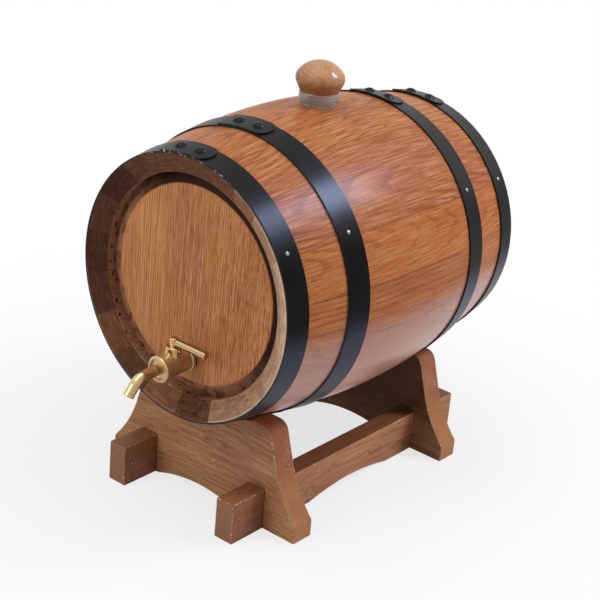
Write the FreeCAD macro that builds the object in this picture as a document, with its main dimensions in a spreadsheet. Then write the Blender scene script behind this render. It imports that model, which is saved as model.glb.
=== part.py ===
import FreeCAD, Part
import math
import os
import Sketcher
from FreeCAD import Vector

# A small oak cask that lies on a cradle stand, with a brass tap in its front head and a bung on top.
# Millimetres and degrees.  +Z is up and the tap points along -Y.
#
# Two local frames are used, and one Placement carries both into the frame of the part:
#   cask frame   the cask's axis is Y, the front chime is y = 0, and angles turn from +Z towards +X
#   stand frame  the floor is z = 0 and y is counted from the same front chime
# The part's own origin is on the floor, below the middle of its outline seen from above.

# Driving dimensions: name, value, meaning.
SIZES = (
    ("cask_length", 270.2, "chime to chime"),
    ("belly_radius", 113, "outside of the staves at the middle"),
    ("bilge_arc_radius", 500, "curvature of the stave along its length"),
    ("bilge_arc_half", 81.5, "half the length of the curved middle, the ends are straight tapers"),
    ("stave_thickness", 15.7, "wall of the cask"),
    ("stave_angle", 20, "width of an ordinary stave round the axis"),
    ("bung_stave_angle", 24, "the stave with the bung hole is wider"),
    ("stave_joint_gap", 0.1, "between neighbouring staves"),
    ("chime_land", 0.7, "flat end of a stave outside its bevel"),
    ("chime_bevel_depth", 7.6, "how far the bevel reaches into the cask"),
    ("croze_depth", 4, "groove that holds the head"),
    ("croze_fit", 0.1, "between the head's edge and the groove"),
    ("head_recess", 12.6, "chime end to the flat face of the head"),
    ("head_flat_radius", 73.8, "flat part of the head"),
    ("head_bevel_depth", 4, "from the flat down to the edge, on both faces"),
    ("head_edge_thickness", 5, "edge of the head in its groove"),
    ("head_board_width", 58, "middle board of a head"),
    ("head_joint_gap", 0.08, "between the boards of a head"),
    ("dowel_radius", 2.5, "pegs that join the head boards"),
    ("dowel_length", 24, ""),
    ("dowel_fit", 0.05, "round a dowel and at its ends"),
    ("dowel_height", 34, "above and below the cask's axis"),
    ("hoop_thickness", 1.2, "steel strip"),
    ("hoop_fit", 0.12, "between a hoop and the staves"),
    ("chime_hoop_width", 18.2, ""),
    ("bilge_hoop_width", 19.6, ""),
    ("bilge_hoop_start", 54, "chime end to the near edge of the bilge hoop"),
    ("lap_length", 41.2, "where the strip's ends overlap"),
    ("lap_tip_beyond", 11.5, "from the last rivet to the rounded tip"),
    ("lap_tip_flat", 3, "straight part left at the end of the rounded tip"),
    ("rivet_spacing", 18.2, ""),
    ("rivet_head_radius", 4.5, ""),
    ("rivet_head_height", 2.2, ""),
    ("rivet_shank_radius", 2.2, ""),
    ("rivet_fit", 0.05, "between a shank and its hole"),
    ("front_chime_rivet_turn", -4.3, "middle of the two rivets, from the top"),
    ("front_bilge_rivet_turn", -2.3, ""),
    ("rear_bilge_rivet_turn", 1.3, ""),
    ("rear_chime_rivet_turn", 1.7, ""),
    ("nail_offset", 8.3, "a hoop nail from the middle of its stave"),
    ("nail_head_radius", 1.5, ""),
    ("nail_head_height", 0.6, ""),
    ("nail_shank_radius", 0.8, ""),
    ("nail_length", 9, ""),
    ("bung_hole_radius", 13.4, "at the outside of the staves"),
    ("bung_hole_taper", 1.2, "how much narrower the hole is at the inside"),
    ("bung_fit", 0.15, "round the sleeve in its hole"),
    ("sleeve_depth", 15.5, "how far the sleeve reaches into the hole"),
    ("sleeve_band_height", 3, "narrow band above the staves"),
    ("sleeve_lip_height", 6.9, "wide lip above the band"),
    ("sleeve_lip_radius", 14.9, ""),
    ("sleeve_ring_depth", 0.8, "sealing rings proud of the sleeve's waist"),
    ("sleeve_ring_spacing", 5.2, ""),
    ("spigot_radius", 8, "peg below the knob"),
    ("spigot_length", 19, ""),
    ("spigot_fit", 0.05, "between the peg and the sleeve"),
    ("knob_base_radius", 14.6, ""),
    ("knob_radius", 18.3, "widest part"),
    ("knob_widest_height", 9.5, "above the knob's base"),
    ("knob_height", 22.6, ""),
    ("knob_corner_radius", 8, "tight curve round the widest part, under a flatter crown"),
    ("knob_flank_angle", 25, "flare from the base, from the vertical"),
    ("tap_drop", 56.1, "cask's axis down to the tap's axis"),
    ("tap_hole_radius", 6.1, "in the front head"),
    ("tap_hole_fit", 0.05, "round the tap's shank"),
    ("tap_shank_taper", 0.5, "how much thinner the tap's shank is at its tip"),
    ("tap_shank_beyond", 5, "shank that shows inside the cask"),
    ("gasket_thickness", 2.4, ""),
    ("gasket_radius", 8, ""),
    ("tap_body_radius", 8.6, ""),
    ("tap_flange_radius", 9.3, ""),
    ("tap_flange_thickness", 3, ""),
    ("tap_collar_radius", 10, "ring at the front of the body"),
    ("tap_collar_thickness", 4, ""),
    ("tap_collar_recess", 2.2, "hollow round the root of the spout"),
    ("tap_collar_rim", 2, "ring left outside that hollow"),
    ("tap_edge_bevel", 1, "edges of the collar and the flange"),
    ("small_brass_bevel", 0.4, "edges of the plug, lever and bonnet"),
    ("tap_reach", 32.5, "front of the head to the front of the collar"),
    ("stem_reach", 17, "front of the head to the stem's axis"),
    ("waterway_radius", 2.8, "bore through shank, plug and spout"),
    ("plug_radius", 4.2, ""),
    ("running_fit", 0.05, "round the turning plug and stem"),
    ("plug_depth", 6.1, "below the tap's axis"),
    ("plug_height", 6.8, "above the tap's axis, to its shoulder"),
    ("boss_radius", 5.9, "upright boss and bonnet"),
    ("boss_height", 9.4, "above the tap's axis"),
    ("bonnet_height", 5, "above the boss"),
    ("bonnet_skirt", 1.2, "spigot of the bonnet inside the boss"),
    ("stem_radius", 3.1, ""),
    ("stem_height", 20.9, "above the tap's axis"),
    ("seal_thickness", 1, "ring in the gland round the stem"),
    ("lever_height", 17.7, "lever's axis above the tap's axis"),
    ("lever_radius", 3, ""),
    ("lever_length", 31.5, "from the stem's axis"),
    ("lever_tenon_radius", 1.5, ""),
    ("lever_tenon_inset", 0.3, "tenon's end inside the far side of the stem"),
    ("lever_fit", 0.03, "round the lever's tenon"),
    ("lock_screw_radius", 0.8, ""),
    ("lock_screw_head_radius", 1.3, ""),
    ("lock_screw_head_height", 1, ""),
    ("lock_screw_clearance", 0.2, "from its tip to the stem"),
    ("spout_radius", 4, ""),
    ("spout_fit", 0.03, "round the spout in its socket"),
    ("spout_socket", 4, "how far the spout sits in the body"),
    ("spout_straight", 10.5, "from the collar's face to the bend"),
    ("spout_bend_radius", 16, ""),
    ("spout_bend_angle", 50, "below the horizontal"),
    ("spout_end", 8, "straight end after the bend"),
    ("cradle_inset", 33.3, "chime end to the near face of a cradle"),
    ("cradle_thickness", 20, ""),
    ("seat_height", 72.2, "floor to the lowest point of a cradle's seat"),
    ("seat_clearance", 0.3, "between the cask and its seat"),
    ("horn_height", 82.3, "top of a cradle"),
    ("horn_land", 11.1, "flat top between the seat and the rounding"),
    ("horn_round", 9, "rounding at the outer end of the top"),
    ("waist_half", 71, "where the straight side turns into the hollow of the foot"),
    ("waist_height", 56, ""),
    ("foot_sweep_radius", 100, "hollow side above the foot"),
    ("toe_half", 94.3, "half width of a cradle on the floor"),
    ("toe_height", 13, ""),
    ("toe_round", 3, ""),
    ("arch_rise", 8.3, "hollow under a cradle"),
    ("arch_end_land", 2.4, "from an end of that hollow to the rail"),
    ("edge_round", 1.2, "eased edges of the stand"),
    ("rail_gap_half", 47.3, "cask's middle plane to the inner face of a rail"),
    ("rail_width", 16.6, ""),
    ("rail_height", 32.6, ""),
    ("rail_protrusion", 34.5, "rail in front of a cradle"),
    ("rail_arch_half", 48, "half the length of the hollow under a rail"),
    ("rail_arch_rise", 5.6, "height of that hollow"),
    ("rail_fit", 0.1, "in the cross halving joints"),
    ("screw_shank_radius", 1.9, ""),
    ("screw_head_radius", 3.6, ""),
    ("screw_head_thickness", 2.4, ""),
    ("screw_sink", 1.5, "head below the underside of its rail"),
    ("screw_length", 34, "head's top to the tip"),
    ("screw_tip_length", 5.7, ""),
    ("screw_fit", 0.1, "round a screw"),
)

SHEET = "Sizes"
STAVES_EACH_SIDE = 7      # ordinary staves on each side of the lowest stave joint
NARROW_EACH_SIDE = 2      # narrow staves on each side of the bung stave
NAIL_STAVES = (1, 6)      # ordinary staves, counted from the top, that the hoops are nailed to
SLEEVE_RINGS = 2          # sealing rings on the sleeve of the bung
FULL_TURN = 360
THROUGH = 4               # a cut that goes right through is this many times as long as the wall
SAME = 1e-6               # lengths that differ by less are equal
FRONT, REAR = "front", "rear"
LEFT, RIGHT = -1, 1


class Size:
    """A number with the expression that makes it, so that one formula drives both."""

    def __init__(self, value, text=None):
        self.value = float(value)
        self.text = text or repr(float(value))

    def join(self, other, sign, value):
        return Size(value, f"({self.text} {sign} {as_size(other).text})")

    def __add__(self, other):
        return self.join(other, "+", self.value + as_size(other).value)

    def __sub__(self, other):
        return self.join(other, "-", self.value - as_size(other).value)

    def __mul__(self, other):
        return self.join(other, "*", self.value * as_size(other).value)

    def __truediv__(self, other):
        return self.join(other, "/", self.value / as_size(other).value)

    def __neg__(self):
        return Size(-self.value, f"(-1 * {self.text})")


def as_size(number):
    return number if isinstance(number, Size) else Size(number)


def root(size):
    return Size(math.sqrt(size.value), f"sqrt({size.text})")


def sine(degrees):
    return Size(math.sin(math.radians(degrees.value)), f"sin({degrees.text})")


def cosine(degrees):
    return Size(math.cos(math.radians(degrees.value)), f"cos({degrees.text})")


def slope_angle(rise, run):
    return Size(math.degrees(math.atan2(rise.value, run.value)), f"atan({rise.text} / {run.text})")


def degrees_of(arc_length, radius):
    return arc_length / radius * (180 / math.pi)


# ---------------------------------------------------------------- document and sheet

doc = FreeCAD.newDocument("OakCask")
sheet = doc.addObject("Spreadsheet::Sheet", SHEET)
size = {}
for row, (name, value, meaning) in enumerate(SIZES, start=1):
    sheet.set(f"A{row}", name)
    sheet.set(f"B{row}", str(value))
    sheet.set(f"C{row}", meaning)
    sheet.setAlias(f"B{row}", name)
    size[name] = Size(value, f"{SHEET}.{name}")
doc.recompute()

ZERO = Size(0)
nodes = []


# ---------------------------------------------------------------- drawing helpers

def bind(item, **expressions):
    """Drive properties of a document object by sheet expressions."""
    for name, expression in expressions.items():
        item.setExpression(name, as_size(expression).text)
    return item


def new_body(name):
    return doc.addObject("PartDesign::Body", name)


def new_sketch(body, plane):
    """A sketch on one of the body's own origin planes."""
    sketch = body.newObject("Sketcher::SketchObject", body.Name + "_sketch")
    support = [item for item in body.Origin.OriginFeatures if item.Role == plane][0]
    sketch.AttachmentSupport = [(support, "")]
    sketch.MapMode = "FlatFace"
    return sketch


def arc_between(start, end, radius, left):
    """Arc geometry of less than half a turn, and which of its ends is the start point."""
    chord = end - start
    middle = (start + end) * 0.5
    side = Vector(-chord.y, chord.x, 0).normalize() * (1 if left else -1)
    centre = middle + side * math.sqrt(max(radius ** 2 - (chord.Length / 2) ** 2, 0))
    angles = [math.atan2(point.y - centre.y, point.x - centre.x) for point in (start, end)]
    first, last = angles if left else reversed(angles)
    circle = Part.Circle(centre, Vector(0, 0, 1), radius)
    return Part.ArcOfCircle(circle, first, last), (1, 2) if left else (2, 1)


def draw_outline(sketch, corners):
    """Closed outline.  A corner is (x, y), or (x, y, radius, left) where an arc leads to the next
    corner with its centre on the left or right of the way."""
    points = [Vector(as_size(corner[0]).value, as_size(corner[1]).value, 0) for corner in corners]
    ends = []
    constraints = []
    drivers = []
    first = sketch.GeometryCount
    for number, corner in enumerate(corners):
        start, end = points[number], points[(number + 1) % len(points)]
        if len(corner) == 2:
            sketch.addGeometry(Part.LineSegment(start, end), False)
            ends.append((1, 2))
        else:
            geometry, order = arc_between(start, end, corner[2].value, corner[3])
            sketch.addGeometry(geometry, False)
            ends.append(order)
            constraints.append(Sketcher.Constraint("Radius", first + number, corner[2].value))
            drivers.append(corner[2])
    for number, corner in enumerate(corners):
        following = (number + 1) % len(corners)
        constraints.append(Sketcher.Constraint(
            "Coincident", first + number, ends[number][1], first + following, ends[following][0]))
        drivers.append(None)
        for kind, axis, coordinate in (("DistanceX", -2, corner[0]), ("DistanceY", -1, corner[1])):
            coordinate = as_size(coordinate)
            if coordinate.text == ZERO.text:
                constraints.append(Sketcher.Constraint(
                    "PointOnObject", first + number, ends[number][0], axis))
                drivers.append(None)
            else:
                constraints.append(Sketcher.Constraint(
                    kind, -1, 1, first + number, ends[number][0], coordinate.value))
                drivers.append(coordinate)
    drive_constraints(sketch, constraints, drivers)


def draw_circle(sketch, x, y, radius):
    centre = Vector(as_size(x).value, as_size(y).value, 0)
    index = sketch.addGeometry(Part.Circle(centre, Vector(0, 0, 1), radius.value), False)
    drive_constraints(
        sketch,
        [Sketcher.Constraint("Radius", index, radius.value),
         Sketcher.Constraint("DistanceX", -1, 1, index, 3, centre.x),
         Sketcher.Constraint("DistanceY", -1, 1, index, 3, centre.y)],
        [radius, as_size(x), as_size(y)])


def drive_constraints(sketch, constraints, drivers):
    indices = sketch.addConstraint(constraints)
    for index, driver in zip(indices, drivers):
        if driver is not None:
            sketch.setExpression(f"Constraints[{index}]", driver.text)


def revolve(body, sketch, axis, angle=None):
    """Turn a sketch round its H_Axis or V_Axis: a whole turn, or an angle centred on the sketch."""
    feature = body.newObject("PartDesign::Revolution", body.Name + "_turned")
    feature.Profile = sketch
    feature.ReferenceAxis = (sketch, [axis])
    feature.Angle = FULL_TURN
    if angle is not None:
        feature.Midplane = True
        bind(feature, Angle=angle)
    return feature


def turned_body(name, plane, axis, corners, angle=None):
    body = new_body(name)
    sketch = new_sketch(body, plane)
    draw_outline(sketch, corners)
    revolve(body, sketch, axis, angle)
    return body


def pad(body, sketch, length):
    feature = body.newObject("PartDesign::Pad", body.Name + "_pad")
    feature.Profile = sketch
    feature.Midplane = True
    bind(feature, Length=length)
    return feature


def ease_edges(body, wanted, radius, suffix="_eased"):
    """Fillet the edges that wanted() picks on the body's last feature."""
    doc.recompute()
    base = body.Tip
    names = [f"Edge{number}" for number, edge in enumerate(base.Shape.Edges, start=1) if wanted(edge)]
    feature = body.newObject("PartDesign::Fillet", body.Name + suffix)
    feature.Base = (base, names)
    bind(feature, Radius=radius)
    return feature


def place(item, x=ZERO, y=ZERO, z=ZERO, turns=()):
    """Placement by expression.  turns are (axis letter, degrees), the last one applied first."""
    base = "; ".join(as_size(step).text for step in (x, y, z))
    rotation = " * ".join(f"rotation{axis}({as_size(angle).text})" for axis, angle in turns)
    item.setExpression("Placement", f"placement(vector({base}); {rotation or 'rotationz(0)'})")
    return item


def cylinder(name, radius, length):
    item = doc.addObject("Part::Cylinder", name)
    return bind(item, Radius=radius, Height=length)


def compound(name, items):
    item = doc.addObject("Part::Compound", name)
    item.Links = items
    return item


def boolean(kind, name, base, tool):
    item = doc.addObject("Part::" + kind, name)
    item.Base = base
    item.Tool = tool
    return item


def radial_place(item, y, angle, radius, tilt, depth=ZERO):
    """Stand an item's +Z outwards on the cask.  Its axis meets this radius at y, at an angle from the
    top, leaning by the tilt, and its origin lies deeper along that axis."""
    distance = radius - depth * cosine(tilt)
    return place(item, distance * sine(angle), y + depth * sine(tilt), distance * cosine(angle),
                 (("y", angle), ("x", tilt)))


def keep(item, label, x=ZERO, y=ZERO, z=ZERO, turns=()):
    """Make an item a sub-part: its label names its file, and it moves into the part's frame."""
    place(item, x, y - part_middle, z, turns)
    item.Label = label
    nodes.append(item)
    return item


def keep_in_cask(item, label, y=ZERO, z=ZERO, turns=()):
    return keep(item, label, ZERO, y, axis_height + z, turns)


# ---------------------------------------------------------------- shared geometry of the cask

half_length = size["cask_length"] / 2
arc_radius = size["bilge_arc_radius"]
arc_half = size["bilge_arc_half"]
taper_cosine = root(arc_radius * arc_radius - arc_half * arc_half) / arc_radius
taper_slope = arc_half / arc_radius / taper_cosine


def outer_radius(y):
    """Outside of the staves on the straight taper at the front, y from the front chime."""
    drop = arc_radius * (as_size(1) - taper_cosine) + (half_length - arc_half - y) * taper_slope
    return size["belly_radius"] - drop


def bilge_radius(y):
    """Outside of the staves on the curved middle."""
    offset = half_length - y
    return size["belly_radius"] - arc_radius + root(arc_radius * arc_radius - offset * offset)


def inner_radius(y):
    """Inside of the staves on the straight taper."""
    return outer_radius(y) - size["stave_thickness"] / taper_cosine


cradle_inner_face = size["cradle_inset"] + size["cradle_thickness"]
seat_radius = outer_radius(cradle_inner_face) + size["seat_clearance"]
axis_height = size["seat_height"] + seat_radius
above_seat = axis_height - size["horn_height"]
seat_half = root(seat_radius * seat_radius - above_seat * above_seat)

head_face = size["head_recess"]
head_edge = head_face + size["head_bevel_depth"]
head_back = head_edge + size["head_edge_thickness"] + size["head_bevel_depth"]
head_radius = inner_radius(head_edge) + size["croze_depth"] - size["croze_fit"]

stem_y = head_face - size["stem_reach"]
collar_face = head_face - size["tap_reach"]
spout_bend_y = collar_face - size["spout_straight"]
bend_sine, bend_cosine = sine(size["spout_bend_angle"]), cosine(size["spout_bend_angle"])
spout_tip_y = spout_bend_y - size["spout_bend_radius"] * bend_sine - size["spout_end"] * bend_cosine
front_end = spout_tip_y - size["spout_radius"] * bend_sine
rail_front = size["cradle_inset"] - size["rail_protrusion"]
rear_end = size["cask_length"] - rail_front
part_middle = (front_end + rear_end) / 2


def arch_radius(half, rise):
    """Radius of an arc over a span of twice this half length."""
    return (half * half / rise + rise) / 2


# ---------------------------------------------------------------- staves

def stave_outline():
    """Section of a stave along the cask: straight tapers, curved middle, chime bevels and crozes."""
    length = size["cask_length"]
    thickness = size["stave_thickness"]
    bevel = size["chime_bevel_depth"]
    chime_edge = outer_radius(ZERO) - size["chime_land"]
    groove_start = head_edge - size["croze_fit"]
    groove_end = head_edge + size["head_edge_thickness"] + size["croze_fit"]
    groove_radius = head_radius + size["croze_fit"]
    inner_arc = arc_radius - thickness
    inner_half = inner_arc * arc_half / arc_radius
    inner_arc_end = size["belly_radius"] - arc_radius + inner_arc * taper_cosine
    outer_arc_end = outer_radius(half_length - arc_half)
    front_half = [
        (bevel, inner_radius(bevel)),
        (groove_start, inner_radius(groove_start)),
        (groove_start, groove_radius),
        (groove_end, groove_radius),
        (groove_end, inner_radius(groove_end)),
        (half_length - inner_half, inner_arc_end, inner_arc, False),
    ]
    rear_half = [(length - corner[0], corner[1]) for corner in reversed(front_half)]
    outside = [
        (length, chime_edge),
        (length, outer_radius(ZERO)),
        (half_length + arc_half, outer_arc_end, arc_radius, True),
        (half_length - arc_half, outer_arc_end),
        (ZERO, outer_radius(ZERO)),
        (ZERO, chime_edge),
    ]
    return front_half + rear_half + outside


def make_stave(name, angle):
    gap = degrees_of(size["stave_joint_gap"], size["belly_radius"])
    return turned_body(name, "YZ_Plane", "H_Axis", stave_outline(), angle - gap)


def bung_hole():
    """Tapered hole through the bung stave: the cone goes on by half the wall at both ends."""
    wall, taper = size["stave_thickness"], size["bung_hole_taper"]
    hole = doc.addObject("Part::Cone", "bung_hole")
    bind(hole, Height=wall * 2,
         Radius1=size["bung_hole_radius"] - taper - taper / 2,
         Radius2=size["bung_hole_radius"] + taper / 2)
    return place(hole, ZERO, half_length, size["belly_radius"] - wall - wall / 2)


def hoop_places():
    """Each hoop's name, first edge, width, rivet angle and whether it is at the rear."""
    chime, bilge = size["chime_hoop_width"], size["bilge_hoop_width"]
    start = size["bilge_hoop_start"]
    return (
        ("front_chime", ZERO, chime, size["front_chime_rivet_turn"], False),
        ("front_bilge", start, bilge, size["front_bilge_rivet_turn"], False),
        ("rear_bilge", start, bilge, size["rear_bilge_rivet_turn"], True),
        ("rear_chime", ZERO, chime, size["rear_chime_rivet_turn"], True),
    )


def hoop_cone(start, width):
    """Inner radius of a hoop at its outer and inner edge, and the slope between them."""
    near = hoop_bore(start)
    far = hoop_bore(start + width)
    return near, far, slope_angle(far - near, width)


def hoop_bore(y):
    on_taper = y.value < (half_length - arc_half).value
    return (outer_radius(y) if on_taper else bilge_radius(y)) + size["hoop_fit"]


def hoop_middle(start, width, rear):
    """Place of a hoop's middle along the cask, its bore there, and its tilt."""
    near, far, slope = hoop_cone(start, width)
    middle = start + width / 2
    if rear:
        return size["cask_length"] - middle, (near + far) / 2, -slope
    return middle, (near + far) / 2, slope


def nail_places(angle):
    """Where the four hoops have a nail at this angle: y, angle, bore radius and tilt."""
    return [(*hoop_middle(start, width, rear), angle) for _, start, width, _, rear in hoop_places()]


def nail_holes(name, angle):
    holes = []
    for number, (y, bore, tilt, turn) in enumerate(nail_places(angle)):
        hole = cylinder(f"{name}_{number}", size["nail_shank_radius"] + size["rivet_fit"],
                        size["nail_length"] * 2)
        depth = size["nail_length"] + size["rivet_fit"]
        holes.append(radial_place(hole, y, turn, bore + size["hoop_thickness"], tilt, depth))
    return compound(name, holes)


def make_staves():
    ordinary = size["stave_angle"]
    bung_angle = size["bung_stave_angle"]
    top_sector = as_size(FULL_TURN) - ordinary * (2 * STAVES_EACH_SIDE)
    narrow = (top_sector - bung_angle) / (2 * NARROW_EACH_SIDE)
    blank = make_stave("bung_stave_blank", bung_angle)
    keep_in_cask(boolean("Cut", "bung_stave", blank, bung_hole()), "bung_stave")
    for side, side_name in ((RIGHT, "right"), (LEFT, "left")):
        start = bung_angle / 2
        for number in range(1, NARROW_EACH_SIDE + STAVES_EACH_SIDE + 1):
            angle = narrow if number <= NARROW_EACH_SIDE else ordinary
            centre = (start + angle / 2) * side
            start = start + angle
            label = f"stave_{side_name}_{number}"
            stave = make_stave(label + "_body", angle)
            if number - NARROW_EACH_SIDE in NAIL_STAVES:
                place(stave, turns=(("y", centre),))
                nail_angle = centre + size["nail_offset"] * side
                stave = boolean("Cut", label, stave, nail_holes(label + "_holes", nail_angle))
                nail_angles.append(nail_angle)
                keep_in_cask(stave, label)
            else:
                keep_in_cask(stave, label, turns=(("y", centre),))


# ---------------------------------------------------------------- heads

def head_outline():
    """Section of a head about the cask's axis, from its front face: bevels and a tongue for the croze."""
    edge = size["head_bevel_depth"]
    far_edge = edge + size["head_edge_thickness"]
    thickness = far_edge + size["head_bevel_depth"]
    flat = size["head_flat_radius"]
    shoulder = inner_radius(head_face) - size["croze_fit"]
    return [(ZERO, ZERO), (thickness, ZERO), (thickness, flat), (far_edge, shoulder),
            (far_edge, head_radius), (edge, head_radius), (edge, shoulder), (ZERO, flat)]


def dowel_spots():
    """Centre of each dowel in one head: side and height."""
    return [(side, size["dowel_height"] * level) for side in (LEFT, RIGHT) for level in (-1, 1)]


def make_dowels(name, radius, length):
    """Pegs across the board joints, in the head's own frame."""
    pegs = []
    for number, (side, height) in enumerate(dowel_spots()):
        peg = cylinder(f"{name}_{number}", radius, length)
        x = size["head_board_width"] / 2 * side - length / 2
        pegs.append(place(peg, x, (head_back - head_face) / 2, height, (("y", 90),)))
    return pegs


def board_box(name, side):
    """Box that cuts one board out of a head: the middle board for side 0, else an outer one."""
    box = doc.addObject("Part::Box", name)
    width = size["head_board_width"]
    gap = size["head_joint_gap"]
    depth = head_back - head_face
    if side == 0:
        bind(box, Length=width - gap, Width=depth, Height=head_radius * 2)
        return place(box, gap / 2 - width / 2, ZERO, -head_radius)
    bind(box, Length=head_radius, Width=depth, Height=head_radius * 2)
    near = width / 2 + gap / 2
    return place(box, near if side == RIGHT else -near - head_radius, ZERO, -head_radius)


def make_head(end):
    """Three boards, edge to edge with dowels.  The rear head is the front one turned round."""
    disc = turned_body(f"{end}_head_disc", "YZ_Plane", "H_Axis", head_outline())
    holes = make_dowels(f"{end}_dowel_hole", size["dowel_radius"] + size["dowel_fit"],
                        size["dowel_length"] + size["dowel_fit"] * 2)
    if end == FRONT:
        thickness = head_back - head_face
        tap_hole = cylinder("tap_hole", size["tap_hole_radius"], thickness * 2)
        holes.append(place(tap_hole, ZERO, thickness + thickness / 2, -size["tap_drop"], (("x", 90),)))
    drilled = boolean("Cut", f"{end}_head_drilled", disc, compound(f"{end}_head_holes", holes))
    for label, side in (("left", LEFT), ("middle", 0), ("right", RIGHT)):
        name = f"{end}_head_{label}_board"
        board = boolean("Common", name, drilled, board_box(name + "_box", side))
        place_head_item(board, name, end)


def place_head_item(item, label, end):
    if end == FRONT:
        return keep_in_cask(item, label, head_face)
    return keep_in_cask(item, label, size["cask_length"] - head_face, turns=(("z", 180),))


# ---------------------------------------------------------------- hoops, rivets and nails

def band_corners(start, width, inner, outer, rear):
    """Section of a conical band: inner and outer are heights above its bore."""
    near, far, _ = hoop_cone(start, width)
    corners = [(start, near + inner), (start + width, far + inner),
               (start + width, far + outer), (start, near + outer)]
    if rear:
        return [(size["cask_length"] - y, radius) for y, radius in reversed(corners)]
    return corners


def make_hoop(name, start, width, rivet_turn, rear):
    """A ring with a second layer where the strip overlaps itself, drilled for rivets and nails."""
    strip = size["hoop_thickness"]
    ring = turned_body(name + "_ring", "YZ_Plane", "H_Axis", band_corners(start, width, ZERO, strip, rear))
    y, bore, tilt = hoop_middle(start, width, rear)
    lap_angle = degrees_of(size["lap_length"], bore)
    lap = turned_body(name + "_lap", "YZ_Plane", "H_Axis",
                      band_corners(start, width, strip / 2, strip * 2, rear), lap_angle)
    tip_angle = degrees_of(size["rivet_spacing"] / 2 + size["lap_tip_beyond"], bore)

    def at_tip_corner(edge):
        turns = [math.degrees(math.atan2(end.Point.x, end.Point.z)) for end in edge.Vertexes]
        radii = [math.hypot(end.Point.x, end.Point.z) for end in edge.Vertexes]
        across = len(turns) == 2 and abs(edge.Vertexes[0].Point.y - edge.Vertexes[1].Point.y) < SAME
        return across and min(turns) > 0 and abs(radii[0] - radii[1]) > strip.value

    ease_edges(lap, at_tip_corner, (width - size["lap_tip_flat"]) / 2)
    place(lap, turns=(("y", rivet_turn + tip_angle - lap_angle / 2),))
    fused = boolean("Fuse", name + "_strip", ring, lap)
    holes = []
    for number, spot in enumerate(rivet_angles(bore, rivet_turn)):
        hole = cylinder(f"{name}_rivet_hole_{number}", size["rivet_shank_radius"] + size["rivet_fit"],
                        strip * THROUGH)
        holes.append(radial_place(hole, y, spot, bore + strip * 2, tilt, strip * 3))
    for number, spot in enumerate(nail_angles):
        hole = cylinder(f"{name}_nail_hole_{number}", size["nail_shank_radius"] + size["rivet_fit"],
                        strip * THROUGH)
        holes.append(radial_place(hole, y, spot, bore + strip, tilt, strip * 2))
    hoop = boolean("Cut", name + "_hoop", fused, compound(name + "_holes", holes))
    keep_in_cask(hoop, name + "_hoop")


def rivet_angles(bore, rivet_turn):
    step = degrees_of(size["rivet_spacing"] / 2, bore)
    return rivet_turn - step, rivet_turn + step


def domed_pin(name, cap_radius, cap_height, shank_radius, shank_length):
    """Round pin with a domed cap; z = 0 is the cap's flat underside."""
    return turned_body(name, "XZ_Plane", "V_Axis", [
        (ZERO, -shank_length), (shank_radius, -shank_length), (shank_radius, ZERO),
        (cap_radius, ZERO, arch_radius(cap_radius, cap_height), True), (ZERO, cap_height)])


def make_rivets():
    pins = []
    for name, start, width, turn, rear in hoop_places():
        y, bore, tilt = hoop_middle(start, width, rear)
        for number, spot in enumerate(rivet_angles(bore, turn)):
            pin = domed_pin(f"{name}_rivet_{number}", size["rivet_head_radius"], size["rivet_head_height"],
                            size["rivet_shank_radius"], size["hoop_thickness"] * 2 - size["rivet_fit"])
            pins.append(radial_place(pin, y, spot, bore + size["hoop_thickness"] * 2, tilt))
    keep_in_cask(compound("hoop_rivets", pins), "hoop_rivets")


def make_nails():
    pins = []
    for group, angle in enumerate(nail_angles):
        for number, (y, bore, tilt, turn) in enumerate(nail_places(angle)):
            pin = domed_pin(f"nail_{group}_{number}", size["nail_head_radius"], size["nail_head_height"],
                            size["nail_shank_radius"], size["nail_length"])
            pins.append(radial_place(pin, y, turn, bore + size["hoop_thickness"], tilt))
    keep_in_cask(compound("hoop_nails", pins), "hoop_nails")


# ---------------------------------------------------------------- bung

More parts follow.
